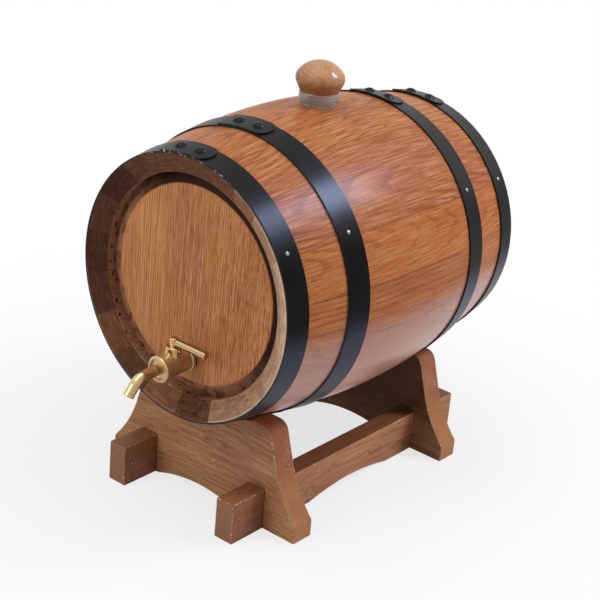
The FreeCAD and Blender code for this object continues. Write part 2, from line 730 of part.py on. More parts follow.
def make_bung():
    """Wooden knob with a peg, in a tapered sleeve with a lip.  Heights from the top of the cask."""
    depth, band = size["sleeve_depth"], size["sleeve_band_height"]
    lip, lip_top = size["sleeve_lip_radius"], band + size["sleeve_lip_height"]
    ring = size["sleeve_ring_depth"]
    bore = size["spigot_radius"] + size["spigot_fit"]
    top = size["bung_hole_radius"] - size["bung_fit"]

    def in_hole(height):
        """Radius that clears the tapered hole all the way below this height."""
        return top + size["bung_hole_taper"] * height / size["stave_thickness"]

    rings = []
    for number in range(SLEEVE_RINGS):
        start = -depth + ring + size["sleeve_ring_spacing"] * number
        crest = in_hole(start)
        rings += [(crest - ring, start), (crest, start + ring), (crest, start + ring * 2),
                  (crest - ring, start + ring * 3)]
    sleeve = turned_body("bung_sleeve_body", "XZ_Plane", "V_Axis", [
        (bore, -depth), (in_hole(-depth) - ring, -depth)] + rings + [
        (in_hole(-ring * 2) - ring, -ring * 2), (in_hole(-ring), -ring),
        (top, ZERO), (top, band - ring), (top - ring / 2, band),
        (lip - ring / 2, band), (lip, band + ring), (lip, lip_top - ring),
        (lip - ring / 2, lip_top), (bore, lip_top)])
    keep_in_cask(sleeve, "bung_sleeve", half_length, size["belly_radius"])
    spigot, length = size["spigot_radius"], size["spigot_length"]
    small, widest = size["knob_corner_radius"], size["knob_widest_height"]
    rise = size["knob_height"] - widest
    corner_x = size["knob_radius"] - small
    large = (corner_x * corner_x + rise * rise - small * small) / ((rise - small) * 2)
    crown_x = corner_x * large / (large - small)
    crown_z = size["knob_height"] - large + (large - rise) * large / (large - small)
    flank = size["knob_flank_angle"]
    knob = turned_body("bung_knob_body", "XZ_Plane", "V_Axis", [
        (ZERO, -length), (spigot, -length), (spigot, ZERO),
        (size["knob_base_radius"], ZERO),
        (corner_x + small * cosine(flank), widest - small * sine(flank), small, True),
        (crown_x, crown_z, large, True),
        (ZERO, size["knob_height"])])
    keep_in_cask(knob, "bung_knob", half_length, size["belly_radius"] + lip_top)


# ---------------------------------------------------------------- tap

def make_gasket():
    hole = size["tap_hole_radius"]
    body = turned_body("tap_gasket_body", "YZ_Plane", "H_Axis", [
        (head_face - size["gasket_thickness"], hole), (head_face, hole),
        (head_face, size["gasket_radius"]), (head_face - size["gasket_thickness"], size["gasket_radius"])])
    keep_in_cask(body, "tap_gasket", z=-size["tap_drop"])


def make_tap_body():
    """Casting about the tap's axis: shank, flange, body and front collar, bored for the waterway,
    with an upright boss that is bored from above for the plug."""
    back = head_face - size["gasket_thickness"]
    flange_front = back - size["tap_flange_thickness"]
    collar_back = collar_face + size["tap_collar_thickness"]
    recess = collar_face + size["tap_collar_recess"]
    socket_end = recess + size["spout_socket"]
    shank_end = head_back + size["tap_shank_beyond"]
    barrel, flange = size["tap_body_radius"], size["tap_flange_radius"]
    collar, bore = size["tap_collar_radius"], size["waterway_radius"]
    shank = size["tap_hole_radius"] - size["tap_hole_fit"]
    socket = size["spout_radius"] + size["spout_fit"]
    mouth = collar - size["tap_collar_rim"]
    bevel = size["tap_edge_bevel"]
    body = new_body("tap_body_solid")
    draw = new_sketch(body, "YZ_Plane")
    draw_outline(draw, [
        (recess, mouth - bevel / 2), (collar_face, mouth), (collar_face, collar - bevel),
        (collar_face + bevel, collar), (collar_back - bevel, collar), (collar_back, collar - bevel),
        (collar_back, barrel), (flange_front, barrel), (flange_front + bevel / 2, flange),
        (back - bevel / 2, flange), (back, flange - bevel / 2), (back, shank),
        (head_back, shank), (shank_end, shank - size["tap_shank_taper"]), (shank_end, bore),
        (socket_end, bore), (socket_end, socket), (recess, socket)][::-1])
    revolve(body, draw, "H_Axis")
    boss = new_sketch(body, "XY_Plane")
    draw_circle(boss, ZERO, stem_y, size["boss_radius"])
    raised = body.newObject("PartDesign::Pad", "tap_boss")
    raised.Profile = boss
    bind(raised, Length=size["boss_height"])
    chamber = new_sketch(body, "XY_Plane")
    draw_circle(chamber, ZERO, stem_y, size["plug_radius"] + size["running_fit"])
    bored = body.newObject("PartDesign::Pocket", "tap_plug_bore")
    bored.Profile = chamber
    bored.SideType = "Two sides"
    bind(bored, Length=size["plug_depth"] + size["running_fit"], Length2=size["boss_height"] * THROUGH)
    flow = new_sketch(body, "XZ_Plane")
    draw_circle(flow, ZERO, ZERO, bore)
    way = body.newObject("PartDesign::Pocket", "tap_waterway")
    way.Profile = flow
    way.Midplane = True
    bind(way, Length=shank_end * THROUGH)
    keep_in_cask(body, "tap_body", z=-size["tap_drop"])


def make_plug():
    """Plug, shoulder and stem in one piece, with the cross port and the hole for the lever."""
    plug, stem = size["plug_radius"], size["stem_radius"]
    ease = size["small_brass_bevel"]
    body = turned_body("tap_plug_body", "XZ_Plane", "V_Axis", [
        (ZERO, -size["plug_depth"]), (plug - ease, -size["plug_depth"]),
        (plug, -size["plug_depth"] + ease), (plug, size["plug_height"]),
        (stem, size["plug_height"]), (stem, size["stem_height"] - ease),
        (stem - ease, size["stem_height"]), (ZERO, size["stem_height"])])
    port = new_sketch(body, "YZ_Plane")
    draw_circle(port, ZERO, ZERO, size["waterway_radius"])
    through = body.newObject("PartDesign::Pocket", "plug_port")
    through.Profile = port
    through.Midplane = True
    bind(through, Length=plug * THROUGH)
    hole = new_sketch(body, "YZ_Plane")
    draw_circle(hole, ZERO, size["lever_height"], size["lever_tenon_radius"] + size["lever_fit"])
    socket = body.newObject("PartDesign::Pocket", "stem_cross_hole")
    socket.Profile = hole
    socket.Midplane = True
    bind(socket, Length=stem * THROUGH)
    keep_in_cask(body, "tap_plug", stem_y, -size["tap_drop"])


def make_lever():
    """Round lever with a tenon through the stem; its local +Z lies along +X."""
    stem, rod, tenon = size["stem_radius"], size["lever_radius"], size["lever_tenon_radius"]
    ease = size["small_brass_bevel"]
    inner_end = size["lever_tenon_inset"] - stem
    body = turned_body("tap_lever_body", "XZ_Plane", "V_Axis", [
        (ZERO, inner_end), (tenon, inner_end), (tenon, stem), (rod - ease, stem), (rod, stem + ease),
        (rod, size["lever_length"] - ease), (rod - ease, size["lever_length"]), (ZERO, size["lever_length"])])
    keep_in_cask(body, "tap_lever", stem_y, size["lever_height"] - size["tap_drop"], (("y", 90),))


def make_bonnet():
    """Cap on the boss with a skirt inside it; the stem turns in its bore.  Heights from the tap's axis."""
    base = size["boss_height"]
    top = base + size["bonnet_height"]
    bore = size["stem_radius"] + size["running_fit"]
    skirt = size["plug_radius"]
    wall = size["boss_radius"]
    bevel = size["small_brass_bevel"]
    body = turned_body("tap_bonnet_body", "XZ_Plane", "V_Axis", [
        (bore, base - size["bonnet_skirt"]), (skirt, base - size["bonnet_skirt"]), (skirt, base),
        (wall, base), (wall, top - bevel), (wall - bevel, top), (bore + bevel, top), (bore, top - bevel)])
    hole = new_sketch(body, "YZ_Plane")
    draw_circle(hole, ZERO, base + size["bonnet_height"] / 2, size["lock_screw_radius"] + size["lever_fit"])
    drilled = body.newObject("PartDesign::Pocket", "lock_screw_hole")
    drilled.Profile = hole
    drilled.Reversed = True
    bind(drilled, Length=wall * 2)
    keep_in_cask(body, "tap_bonnet", stem_y, -size["tap_drop"])


def make_lock_screw():
    wall = size["boss_radius"]
    reach = wall - size["stem_radius"] - size["lock_screw_clearance"]
    pin = domed_pin("tap_lock_screw_body", size["lock_screw_head_radius"], size["lock_screw_head_height"],
                    size["lock_screw_radius"], reach)
    height = size["boss_height"] + size["bonnet_height"] / 2
    keep(pin, "tap_lock_screw", wall, stem_y, axis_height + height - size["tap_drop"], (("y", 90),))


def make_stem_seal():
    """Rubber ring in the gland, between the plug's shoulder and the bonnet's skirt."""
    ring = doc.addObject("Part::Torus", "stem_seal_ring")
    gland = size["plug_radius"] + size["running_fit"] + size["stem_radius"]
    bind(ring, Radius1=gland / 2, Radius2=size["seal_thickness"] / 2)
    height = size["plug_height"] + size["seal_thickness"] / 2 + size["running_fit"]
    keep_in_cask(ring, "tap_stem_seal", stem_y, height - size["tap_drop"])


def make_spout():
    """Bent tube: straight into its socket, one bend down and a short straight end."""
    body = new_body("tap_spout_body")
    path = new_sketch(body, "YZ_Plane")
    start_y = collar_face + size["tap_collar_recess"] + size["spout_socket"] - size["spout_fit"]
    bend = size["spout_bend_radius"]
    bend_end = (spout_bend_y - bend * bend_sine, bend * bend_cosine - bend)
    tip = (spout_tip_y, bend_end[1] - size["spout_end"] * bend_sine)
    corners = [(start_y, ZERO), (spout_bend_y, ZERO), bend_end, tip]
    points = [Vector(corner[0].value, corner[1].value, 0) for corner in corners]
    path.addGeometry(Part.LineSegment(points[0], points[1]), False)
    arc, order = arc_between(points[1], points[2], bend.value, True)
    path.addGeometry(arc, False)
    path.addGeometry(Part.LineSegment(points[2], points[3]), False)
    drive_constraints(path, [
        Sketcher.Constraint("PointOnObject", 0, 1, -1),
        Sketcher.Constraint("DistanceX", -1, 1, 0, 1, points[0].x),
        Sketcher.Constraint("PointOnObject", 0, 2, -1),
        Sketcher.Constraint("DistanceX", -1, 1, 0, 2, points[1].x),
        Sketcher.Constraint("Coincident", 0, 2, 1, order[0]),
        Sketcher.Constraint("Radius", 1, bend.value),
        Sketcher.Constraint("Coincident", 1, order[1], 2, 1),
        Sketcher.Constraint("DistanceX", -1, 1, 2, 1, points[2].x),
        Sketcher.Constraint("DistanceY", -1, 1, 2, 1, points[2].y),
        Sketcher.Constraint("DistanceX", -1, 1, 2, 2, points[3].x),
        Sketcher.Constraint("DistanceY", -1, 1, 2, 2, points[3].y),
    ], [None, start_y, None, spout_bend_y, None, bend, None, bend_end[0], bend_end[1], tip[0], tip[1]])
    ring = new_sketch(body, "XZ_Plane")
    bind(ring, **{"AttachmentOffset.Base.z": -start_y})
    draw_circle(ring, ZERO, ZERO, size["spout_radius"])
    draw_circle(ring, ZERO, ZERO, size["waterway_radius"])
    tube = body.newObject("PartDesign::AdditivePipe", "spout_tube")
    tube.Profile = ring
    tube.Spine = path
    keep_in_cask(body, "tap_spout", z=-size["tap_drop"])


# ---------------------------------------------------------------- stand

def cradle_outline():
    """Front view of a cradle, counter-clockwise from the left end of its arch."""
    rail_in = size["rail_gap_half"] - size["rail_fit"]
    rail_out = size["rail_gap_half"] + size["rail_width"] + size["rail_fit"]
    notch = size["rail_height"] / 2
    arch_half = size["rail_gap_half"] - size["arch_end_land"]
    horn_top_half = seat_half + size["horn_land"]
    horn_end = flank_touch(horn_top_half, size["horn_height"] - size["horn_round"])
    toe = size["toe_half"]
    right = [
        (arch_half, ZERO),
        (rail_in, ZERO),
        (rail_in, notch),
        (rail_out, notch),
        (rail_out, ZERO),
        (toe, ZERO),
        (toe, size["toe_height"], size["foot_sweep_radius"], False),
        (size["waist_half"], size["waist_height"]),
        (*horn_end, size["horn_round"], True),
        (horn_top_half, size["horn_height"]),
    ]
    left = mirrored(right)
    return ([(-arch_half, ZERO, arch_radius(arch_half, size["arch_rise"]), False)] + right
            + [(seat_half, size["horn_height"], seat_radius, False), (-seat_half, size["horn_height"])]
            + left[:-1])


def flank_touch(centre_x, centre_z):
    """Where the straight flank, drawn up from the waist, touches the rounding about this centre."""
    run = size["waist_half"] - centre_x
    fall = centre_z - size["waist_height"]
    flank = root(run * run + fall * fall - size["horn_round"] * size["horn_round"])
    lean = slope_angle(flank, size["horn_round"]) - slope_angle(fall, run)
    return centre_x + size["horn_round"] * cosine(lean), centre_z + size["horn_round"] * sine(lean)


def mirrored(corners):
    """The same corners on the other side, in reverse order; an arc keeps its side of the way."""
    flipped = []
    for number in range(len(corners) - 1, -1, -1):
        x, y = corners[number][:2]
        arc = corners[number - 1][2:] if number and len(corners[number - 1]) == 4 else ()
        flipped.append((-x, y, *arc))
    return flipped


def screw_spots():
    """Screws up through the rails: x and the middle of each cradle along y."""
    middle = size["cradle_inset"] + size["cradle_thickness"] / 2
    x = size["rail_gap_half"] + size["rail_width"] / 2
    return [(x * side, y) for side in (LEFT, RIGHT) for y in (middle, size["cask_length"] - middle)]


def on_cradle_face(edge):
    """True for the long outline edges on both faces, away from the seat, the notches and the floor."""
    spots = [end.Point for end in edge.Vertexes]
    same_face = len(spots) == 2 and abs(spots[0].y - spots[1].y) < SAME
    middle = edge.valueAt((edge.FirstParameter + edge.LastParameter) / 2)
    rail_out = size["rail_gap_half"] + size["rail_width"] + size["rail_fit"]
    beside = abs(middle.x) > rail_out.value + SAME and middle.z > SAME
    on_top = abs(middle.x) > seat_half.value and middle.z > size["waist_height"].value
    return same_face and (beside or on_top)


def at_toe_top(edge):
    spots = [end.Point for end in edge.Vertexes]
    return all(abs(abs(spot.x) - size["toe_half"].value) < SAME
               and abs(spot.z - size["toe_height"].value) < SAME for spot in spots)


def make_cradle(end):
    name = f"{end}_cradle"
    body = new_body(name + "_plate")
    draw = new_sketch(body, "XZ_Plane")
    draw_outline(draw, cradle_outline())
    pad(body, draw, size["cradle_thickness"])
    ease_edges(body, at_toe_top, size["toe_round"], "_toes")
    ease_edges(body, on_cradle_face, size["edge_round"])
    middle = size["cradle_inset"] + size["cradle_thickness"] / 2
    y = middle if end == FRONT else size["cask_length"] - middle
    place(body, ZERO, y)
    holes = [screw_hole(f"{name}_pilot_{number}", spot)
             for number, spot in enumerate(screw_spots()) if abs(spot[1].value - y.value) < SAME]
    keep(boolean("Cut", name, body, compound(name + "_pilots", holes)), name)


def screw_hole(name, spot):
    hole = cylinder(name, size["screw_shank_radius"] + size["screw_fit"],
                    size["screw_sink"] + size["screw_length"] + size["screw_fit"])
    return place(hole, spot[0], spot[1])


def make_rail(side, label):
    """Rail along the cask, notched from above under each cradle, hollow and counterbored below."""
    notch_start = size["cradle_inset"] - size["rail_fit"]
    notch_end = cradle_inner_face + size["rail_fit"]
    half = size["rail_height"] / 2 - size["rail_fit"]
    cask = size["cask_length"]
    arch_half = size["rail_arch_half"]
    body = new_body(label + "_bar")
    draw = new_sketch(body, "YZ_Plane")
    draw_outline(draw, [
        (rail_front, ZERO),
        (half_length - arch_half, ZERO, arch_radius(arch_half, size["rail_arch_rise"]), False),
        (half_length + arch_half, ZERO), (rear_end, ZERO), (rear_end, size["rail_height"]),
        (cask - notch_start, size["rail_height"]), (cask - notch_start, half),
        (cask - notch_end, half), (cask - notch_end, size["rail_height"]),
        (notch_end, size["rail_height"]), (notch_end, half),
        (notch_start, half), (notch_start, size["rail_height"]), (rail_front, size["rail_height"])])
    pad(body, draw, size["rail_width"])
    top = size["rail_height"].value
    ends = (rail_front.value, rear_end.value)

    def outer_edge(edge):
        spots = [point.Point for point in edge.Vertexes]
        along_top = all(abs(point.z - top) < SAME for point in spots)
        along_top = along_top and abs(spots[0].x - spots[1].x) < SAME
        at_end = all(min(abs(point.y - end) for end in ends) < SAME for point in spots)
        return along_top or at_end

    ease_edges(body, outer_edge, size["edge_round"])
    x = (size["rail_gap_half"] + size["rail_width"] / 2) * side
    place(body, x)
    holes = []
    for number, spot in enumerate(screw_spots()):
        if spot[0].value * side > 0:
            holes.append(screw_hole(f"{label}_hole_{number}", spot))
            sink = cylinder(f"{label}_sink_{number}", size["screw_head_radius"] + size["screw_fit"],
                            size["screw_sink"] + size["screw_head_thickness"])
            holes.append(place(sink, spot[0], spot[1]))
    keep(boolean("Cut", label, body, compound(label + "_holes", holes)), label)


def make_stand_screws():
    screws = []
    head, shank = size["screw_head_radius"], size["screw_shank_radius"]
    for number, (x, y) in enumerate(screw_spots()):
        screw = turned_body(f"stand_screw_{number}", "XZ_Plane", "V_Axis", [
            (ZERO, ZERO), (head, ZERO), (head, size["screw_head_thickness"] / 3),
            (shank, size["screw_head_thickness"]), (shank, size["screw_length"] - size["screw_tip_length"]),
            (ZERO, size["screw_length"])])
        screws.append(place(screw, x, y, size["screw_sink"]))
    keep(compound("stand_screws", screws), "stand_screws")


# ---------------------------------------------------------------- assembly

nail_angles = []
make_staves()
make_head(FRONT)
make_head(REAR)
for end in (FRONT, REAR):
    place_head_item(compound(f"{end}_head_dowels", make_dowels(
        f"{end}_dowel", size["dowel_radius"], size["dowel_length"])), f"{end}_head_dowels", end)
for hoop in hoop_places():
    make_hoop(*hoop)
make_rivets()
make_nails()
make_bung()
make_gasket()
make_tap_body()
make_plug()
make_lever()
make_bonnet()
make_lock_screw()
make_stem_seal()
make_spout()
make_cradle(FRONT)
make_cradle(REAR)
make_rail(LEFT, "left_rail")
make_rail(RIGHT, "right_rail")
make_stand_screws()
doc.recompute()

# ---------------------------------------------------------------- checks and files

for item in doc.Objects:
    if {"Invalid", "Error"} & set(item.State):
        raise RuntimeError(f"{item.Label} failed: {item.State}")
for item in nodes:
    if item.Shape.isNull() or not item.Shape.isValid() or not item.Shape.Solids:
        raise RuntimeError(f"{item.Label} has no valid shape")

os.makedirs("parts", exist_ok=True)
for item in nodes:
    item.Shape.exportStep(f"parts/{item.Label}.step")
    print(f"{item.Label}: {len(item.Shape.Solids)} solid(s), {item.Shape.Volume / 1000:.2f} cm3")
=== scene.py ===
import math

import bpy
from mathutils import Matrix, Vector


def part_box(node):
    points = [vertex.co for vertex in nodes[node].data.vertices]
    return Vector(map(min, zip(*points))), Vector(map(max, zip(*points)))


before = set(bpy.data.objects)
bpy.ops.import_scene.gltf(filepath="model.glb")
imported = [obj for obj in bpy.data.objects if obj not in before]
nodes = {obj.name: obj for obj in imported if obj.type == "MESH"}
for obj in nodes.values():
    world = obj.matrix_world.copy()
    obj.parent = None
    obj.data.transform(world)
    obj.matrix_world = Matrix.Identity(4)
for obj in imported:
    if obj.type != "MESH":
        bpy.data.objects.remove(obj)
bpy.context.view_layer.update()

# The looks of a small oak cask on its stand.  Metres; +Z is up and the tap points along -Y.
# Every shape comes from the CAD.  This script adds its materials, the lamps, a floor and the camera.

MM = 0.001

# ---------------------------------------------------------------- places read from the frame

rear_board_low, rear_board_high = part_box("rear_head_middle_board")
axis_z = (rear_board_low.z + rear_board_high.z) / 2
belly_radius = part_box("bung_stave")[1].z - axis_z
chime_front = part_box("bung_stave")[0].y
chime_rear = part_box("bung_stave")[1].y
cask_middle = (chime_front + chime_rear) / 2
cask_half = (chime_rear - chime_front) / 2
cradle_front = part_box("front_cradle")[0].y


def chime_radius():
    """Outside of the staves at the very end of the cask."""
    end = chime_front + 0.1 * MM
    return max(math.hypot(vertex.co.x, vertex.co.z - axis_z)
               for vertex in nodes["bung_stave"].data.vertices if vertex.co.y < end)


def stave_turn(name):
    """Angle of a stave's middle round the cask, from the top towards +X, and half its width."""
    turns = []
    for vertex in nodes[name].data.vertices:
        turns.append(math.atan2(vertex.co.x, vertex.co.z - axis_z))
    if max(turns) - min(turns) > math.pi:
        turns = [turn % (2 * math.pi) for turn in turns]
    return (max(turns) + min(turns)) / 2, (max(turns) - min(turns)) / 2


def degrees(*angles):
    """Angles given in degrees, as the radians that the nodes work in."""
    return tuple(math.radians(angle) for angle in angles)


rim_radius = chime_radius()

# ---------------------------------------------------------------- camera

CAMERA_PLACE = Vector((0.6706, -0.8254, 0.6000))
CAMERA_YAW = math.radians(38.273)       # left of straight ahead along +Y
CAMERA_PITCH = math.radians(23.292)     # downwards
CAMERA_ROLL = math.radians(5.190)
CAMERA_LENS = 91.14
CAMERA_NEAR = 0.05
SENSOR_WIDTH = 36.0


def add_camera():
    """The photograph's own view of the cask."""
    level = math.cos(CAMERA_PITCH)
    ahead = Vector((-math.sin(CAMERA_YAW) * level, math.cos(CAMERA_YAW) * level, -math.sin(CAMERA_PITCH)))
    right = Vector((math.cos(CAMERA_YAW), math.sin(CAMERA_YAW), 0))
    up = right.cross(ahead)
    turned_right = right * math.cos(CAMERA_ROLL) + up * math.sin(CAMERA_ROLL)
    turned_up = up * math.cos(CAMERA_ROLL) - right * math.sin(CAMERA_ROLL)
    data = bpy.data.cameras.new("camera")
    data.lens = CAMERA_LENS
    data.sensor_width = SENSOR_WIDTH
    data.clip_start = CAMERA_NEAR
    camera = bpy.data.objects.new("camera", data)
    bpy.context.scene.collection.objects.link(camera)
    turn = Matrix((turned_right, turned_up, -ahead)).transposed().to_4x4()
    camera.matrix_world = Matrix.Translation(CAMERA_PLACE) @ turn
    bpy.context.scene.camera = camera


# ---------------------------------------------------------------- node graphs

MIX_SHARE, MIX_FIRST, MIX_SECOND, MIX_RESULT = 0, 6, 7, 2      # sockets of a Mix node that mixes colours
SPECK_EDGE = 0.04                                               # softness of a speck's outline


class Shade:
    """One node material, with short calls for the nodes that these finishes are made of."""

    def __init__(self, name):
        self.material = bpy.data.materials.new(name)
        self.material.use_nodes = True
        self.tree = self.material.node_tree
        self.surface = self.tree.nodes["Principled BSDF"]
        self.place = self.node("TexCoord", {}).outputs["Object"]

    def node(self, kind, inputs, **settings):
        made = self.tree.nodes.new("ShaderNode" + kind)
        for name, value in settings.items():
            setattr(made, name, value)
        for name, value in inputs.items():
            self.feed(made.inputs[name], value)
        return made

    def feed(self, socket, value):
        if isinstance(value, bpy.types.NodeSocket):
            self.tree.links.new(value, socket)
        else:
            socket.default_value = value

    # sums

    def math(self, operation, *values):
        made = self.node("Math", {}, operation=operation)
        for socket, value in zip(made.inputs, values):
            self.feed(socket, value)
        return made.outputs[0]

    def add(self, *values):
        total = values[0]
        for value in values[1:]:
            total = self.math("ADD", total, value)
        return total

    def times(self, *values):
        product = values[0]
        for value in values[1:]:
            product = self.math("MULTIPLY", product, value)
        return product

    def less(self, first, second):
        return self.math("SUBTRACT", first, second)

    def absolute(self, value):
        return self.math("ABSOLUTE", value)

    def most(self, first, second):
        return self.math("MAXIMUM", first, second)

    def rest_of(self, share):
        """What a share leaves of 1."""
        return self.less(1.0, share)

    def distance(self, first, second):
        """Length of the third side of a right angle, from its two legs."""
        return self.math("SQRT", self.add(self.times(first, first), self.times(second, second)))

    def ramp(self, value, start, end, low=0.0, high=1.0):
        """Carry a value from the range start..end to low..high along a smooth step."""
        made = self.node("MapRange", {"Value": value, "From Min": start, "From Max": end,
                                      "To Min": low, "To Max": high}, interpolation_type="SMOOTHSTEP")
        return made.outputs["Result"]

    def fall(self, value, start, end):
        """1 up to the start, and 0 from the end on."""
        return self.ramp(value, start, end, 1.0, 0.0)

    # places

    def split(self, vector):
        made = self.node("SeparateXYZ", {"Vector": vector})
        return made.outputs["X"], made.outputs["Y"], made.outputs["Z"]

    def join(self, x, y, z):
        return self.node("CombineXYZ", {"X": x, "Y": y, "Z": z}).outputs["Vector"]

    def spot(self):
        """The place on the part, as x, y and z in its own frame."""
        return self.split(self.place)

    def normal(self):
        """Which way the surface faces, as x, y and z."""
        return self.split(self.node("NewGeometry", {}).outputs["Normal"])

    def angle_round(self):
        """Angle round the cask from its top, the same on both sides."""
        x, _, z = self.spot()
        return self.absolute(self.math("ARCTAN2", x, self.less(z, axis_z)))

    # noise

    def noise(self, vector, scale=1.0, detail=2.0):
        made = self.node("TexNoise", {"Vector": vector, "Scale": scale, "Detail": detail})
        return made.outputs["Fac"]

    def cloud(self, scale, detail=3.0):
        """Noise over the part, with this many blobs to a metre."""
        return self.noise(self.place, scale, detail)

    def centred(self, noise):
        """Noise that swings about 0."""
        return self.less(noise, 0.5)

    def patches(self, scale, start, end, low=0.0, high=1.0, detail=3.0):
        """Soft patches where a cloud rises from the start to the end."""
        return self.ramp(self.cloud(scale, detail), start, end, low, high)

    def specks(self, scale, rarity):
        """Small scattered dots, fewer as the rarity nears 1."""
        return self.patches(scale, rarity, rarity + SPECK_EDGE, detail=0.0)

    # colours and the surface

    def mix(self, share, first, second):
        made = self.node("Mix", {}, data_type="RGBA")
        self.feed(made.inputs[MIX_SHARE], share)
        self.feed(made.inputs[MIX_FIRST], first)
        self.feed(made.inputs[MIX_SECOND], second)
        return made.outputs[MIX_RESULT]

    def bump(self, height, distance, strength):
        made = self.node("Bump", {"Height": height, "Distance": distance, "Strength": strength})
        self.feed(self.surface.inputs["Normal"], made.outputs["Normal"])

    def finish(self, **values):
        """Set the shader's own sockets; a word's underscores stand for spaces."""
        for name, value in values.items():
            self.feed(self.surface.inputs[name.replace("_", " ").title().replace("Ior", "IOR")], value)
        return self.material


def colour(red, green, blue):
    return (red, green, blue, 1.0)


def blended(share, first, second):
    """A colour this share of the way from the first to the second."""
    return tuple(a + (b - a) * share for a, b in zip(first, second))


def steeped(share, first, second):
    """A stain that goes from the first colour to the second the longer it soaks."""
    return tuple(a ** (1 - share) * b ** share for a, b in zip(first, second))


def dress(material, *names):
    for name in names:
        nodes[name].material_slots[0].material = material


# ---------------------------------------------------------------- wood

OAK = {
    "seed": 0.0,                 # shifts every noise
    "pith": 0.0,                 # across the board, metres
    "pith_depth": 0.035,         # below its face
    "taper": 0.06,               # how fast the rings run out along the board, which makes the arches
    "sweep": 24 * MM,            # slow bends of the rings
    "ring": 2.4 * MM,            # width of one year
    "ring_strength": 0.6,
    "ragged": 0.45 * MM,         # how far the pores break up the edge of a year
    "fineness": 1000,            # fibres across a metre
    "streak": 0.5,               # dark fibres
    "silver": 0.5,               # pale fibres
    "pore_strength": 0.6,
    "pore_spread": 0.35,         # share of the pores that lie outside the early wood
    "pale": colour(0.60, 0.310, 0.145),
    "light": colour(0.475, 0.162, 0.041),
    "middle": colour(0.40, 0.110, 0.023),
    "dark": colour(0.180, 0.044, 0.012),
    "red": colour(0.36, 0.092, 0.030),
    "redness": 0.4,
}

# Noises of the wood: blobs to a metre across the grain and along it, detail, and a shift of their own.
BEND = (16, 4.0, 1.0, 0.0)
FLURRY = (22, 9, 1.0, 41.0)
RIPPLE = (170, 75, 2.0, 3.1)
FIBRE = (1100, 150, 2.0, 5.3)
PRESENCE = (30, 9, 2.0, 7.7)
BREADTH = (34, 3.0, 2.0, 11.3)
BLUSH = (24, 7, 2.0, 23.0)
PORE = (1500, 130, 1.0, 31.0)
STREAK = (26, 2.0, 17.9)                 # across the grain it has the look's own fineness
SEED_SKEW = 1.7                          # a seed shifts the noises further along the grain than across it
RIPPLE_SIZE = (0.5 * MM, 3.2 * MM)       # in calm and in wild grain
YEAR_OPENS = (0.0, 0.12)                 # parts of a year over which its early wood comes and goes
YEAR_CLOSES = (0.15, 0.50)
FIBRE_HEIGHT = 0.3                       # beside the depth of a pore


def grain_noise(shade, spot, seed, across_rate, along_rate, detail, shift):
    """Noise stretched along the grain."""
    across, along, depth = spot
    stretched = shade.join(shade.add(shade.times(across, across_rate), seed + shift),
                           shade.add(shade.times(along, along_rate), seed * SEED_SKEW + shift),
                           shade.times(depth, across_rate))
    return shade.noise(stretched, detail=detail)


def early_wood(shade, spot, fibre, look):
    """The porous band that opens each year, 0 to 1."""
    across, along, depth = spot
    bend = shade.times(shade.centred(grain_noise(shade, spot, look["seed"], *BEND)), look["sweep"])
    flurry = shade.ramp(grain_noise(shade, spot, look["seed"], *FLURRY), 0.50, 0.62, *RIPPLE_SIZE)
    ripple = shade.times(shade.centred(grain_noise(shade, spot, look["seed"], *RIPPLE)), flurry)
    rag = shade.times(shade.centred(fibre), look["ragged"] * 2)
    side = shade.add(across, bend, -look["pith"])
    below = shade.add(depth, look["pith_depth"])
    age = shade.add(shade.distance(side, below), shade.times(along, look["taper"]), ripple, rag)
    year = shade.math("FRACT", shade.times(age, 1 / look["ring"]))
    return shade.times(shade.ramp(year, *YEAR_OPENS), shade.fall(year, *YEAR_CLOSES))


def wood_figure(shade, spot, look):
    """Growth rings cut by a board, with streaks and pores.  Returns its colour and its height.

    The spot is the place across the board, along its grain and into its depth.
    """
    def grain(noise):
        return grain_noise(shade, spot, look["seed"], *noise)

    fibre = grain(FIBRE)
    early = early_wood(shade, spot, fibre, look)
    streaks = grain((look["fineness"],) + STREAK)
    blush = shade.times(shade.ramp(grain(BLUSH), 0.44, 0.60), look["redness"])
    pale_fibres = shade.times(shade.fall(streaks, 0.36, 0.54), look["silver"])
    dark_fibres = shade.times(shade.ramp(streaks, 0.50, 0.68), look["streak"])
    presence = shade.ramp(grain(PRESENCE), 0.38, 0.62, 0.15, 1.0)
    rings = shade.times(early, presence, look["ring_strength"])
    outside = look["pore_spread"]
    pores = shade.times(shade.ramp(grain(PORE), 0.54, 0.62),
                        shade.add(outside, shade.times(early, 1 - outside)))

    body = shade.mix(shade.ramp(grain(BREADTH), 0.36, 0.64), look["middle"], look["light"])
    body = shade.mix(blush, body, look["red"])
    body = shade.mix(pale_fibres, body, look["pale"])
    body = shade.mix(dark_fibres, body, look["dark"])
    body = shade.mix(rings, body, look["dark"])
    body = shade.mix(shade.times(pores, look["pore_strength"]), body, look["dark"])
    height = shade.less(shade.times(fibre, FIBRE_HEIGHT), pores)
    return body, height


def flat_wood(shade, across, along, look):
    """Figure of a straight board; across and along are axis letters of the part's frame."""
    places = dict(zip("xyz", shade.spot()))
    depth = ({"x", "y", "z"} - {across, along}).pop()
    return wood_figure(shade, (places[across], places[along], places[depth]), look)


def varnish(shade, body, height, roughness=0.5, coat=0.35, coat_roughness=0.3):
    """Semi-gloss varnish over wood."""
    shade.bump(height, distance=0.04 * MM, strength=0.6)
    return shade.finish(base_color=body, roughness=roughness, specular_ior_level=0.06,
                        coat_weight=coat, coat_roughness=coat_roughness, coat_ior=1.5)


WORN_TO_MATT = degrees(52, 68)           # angles from the top, as in angle_round
MATT_TO_GLOSSY = degrees(90, 104)


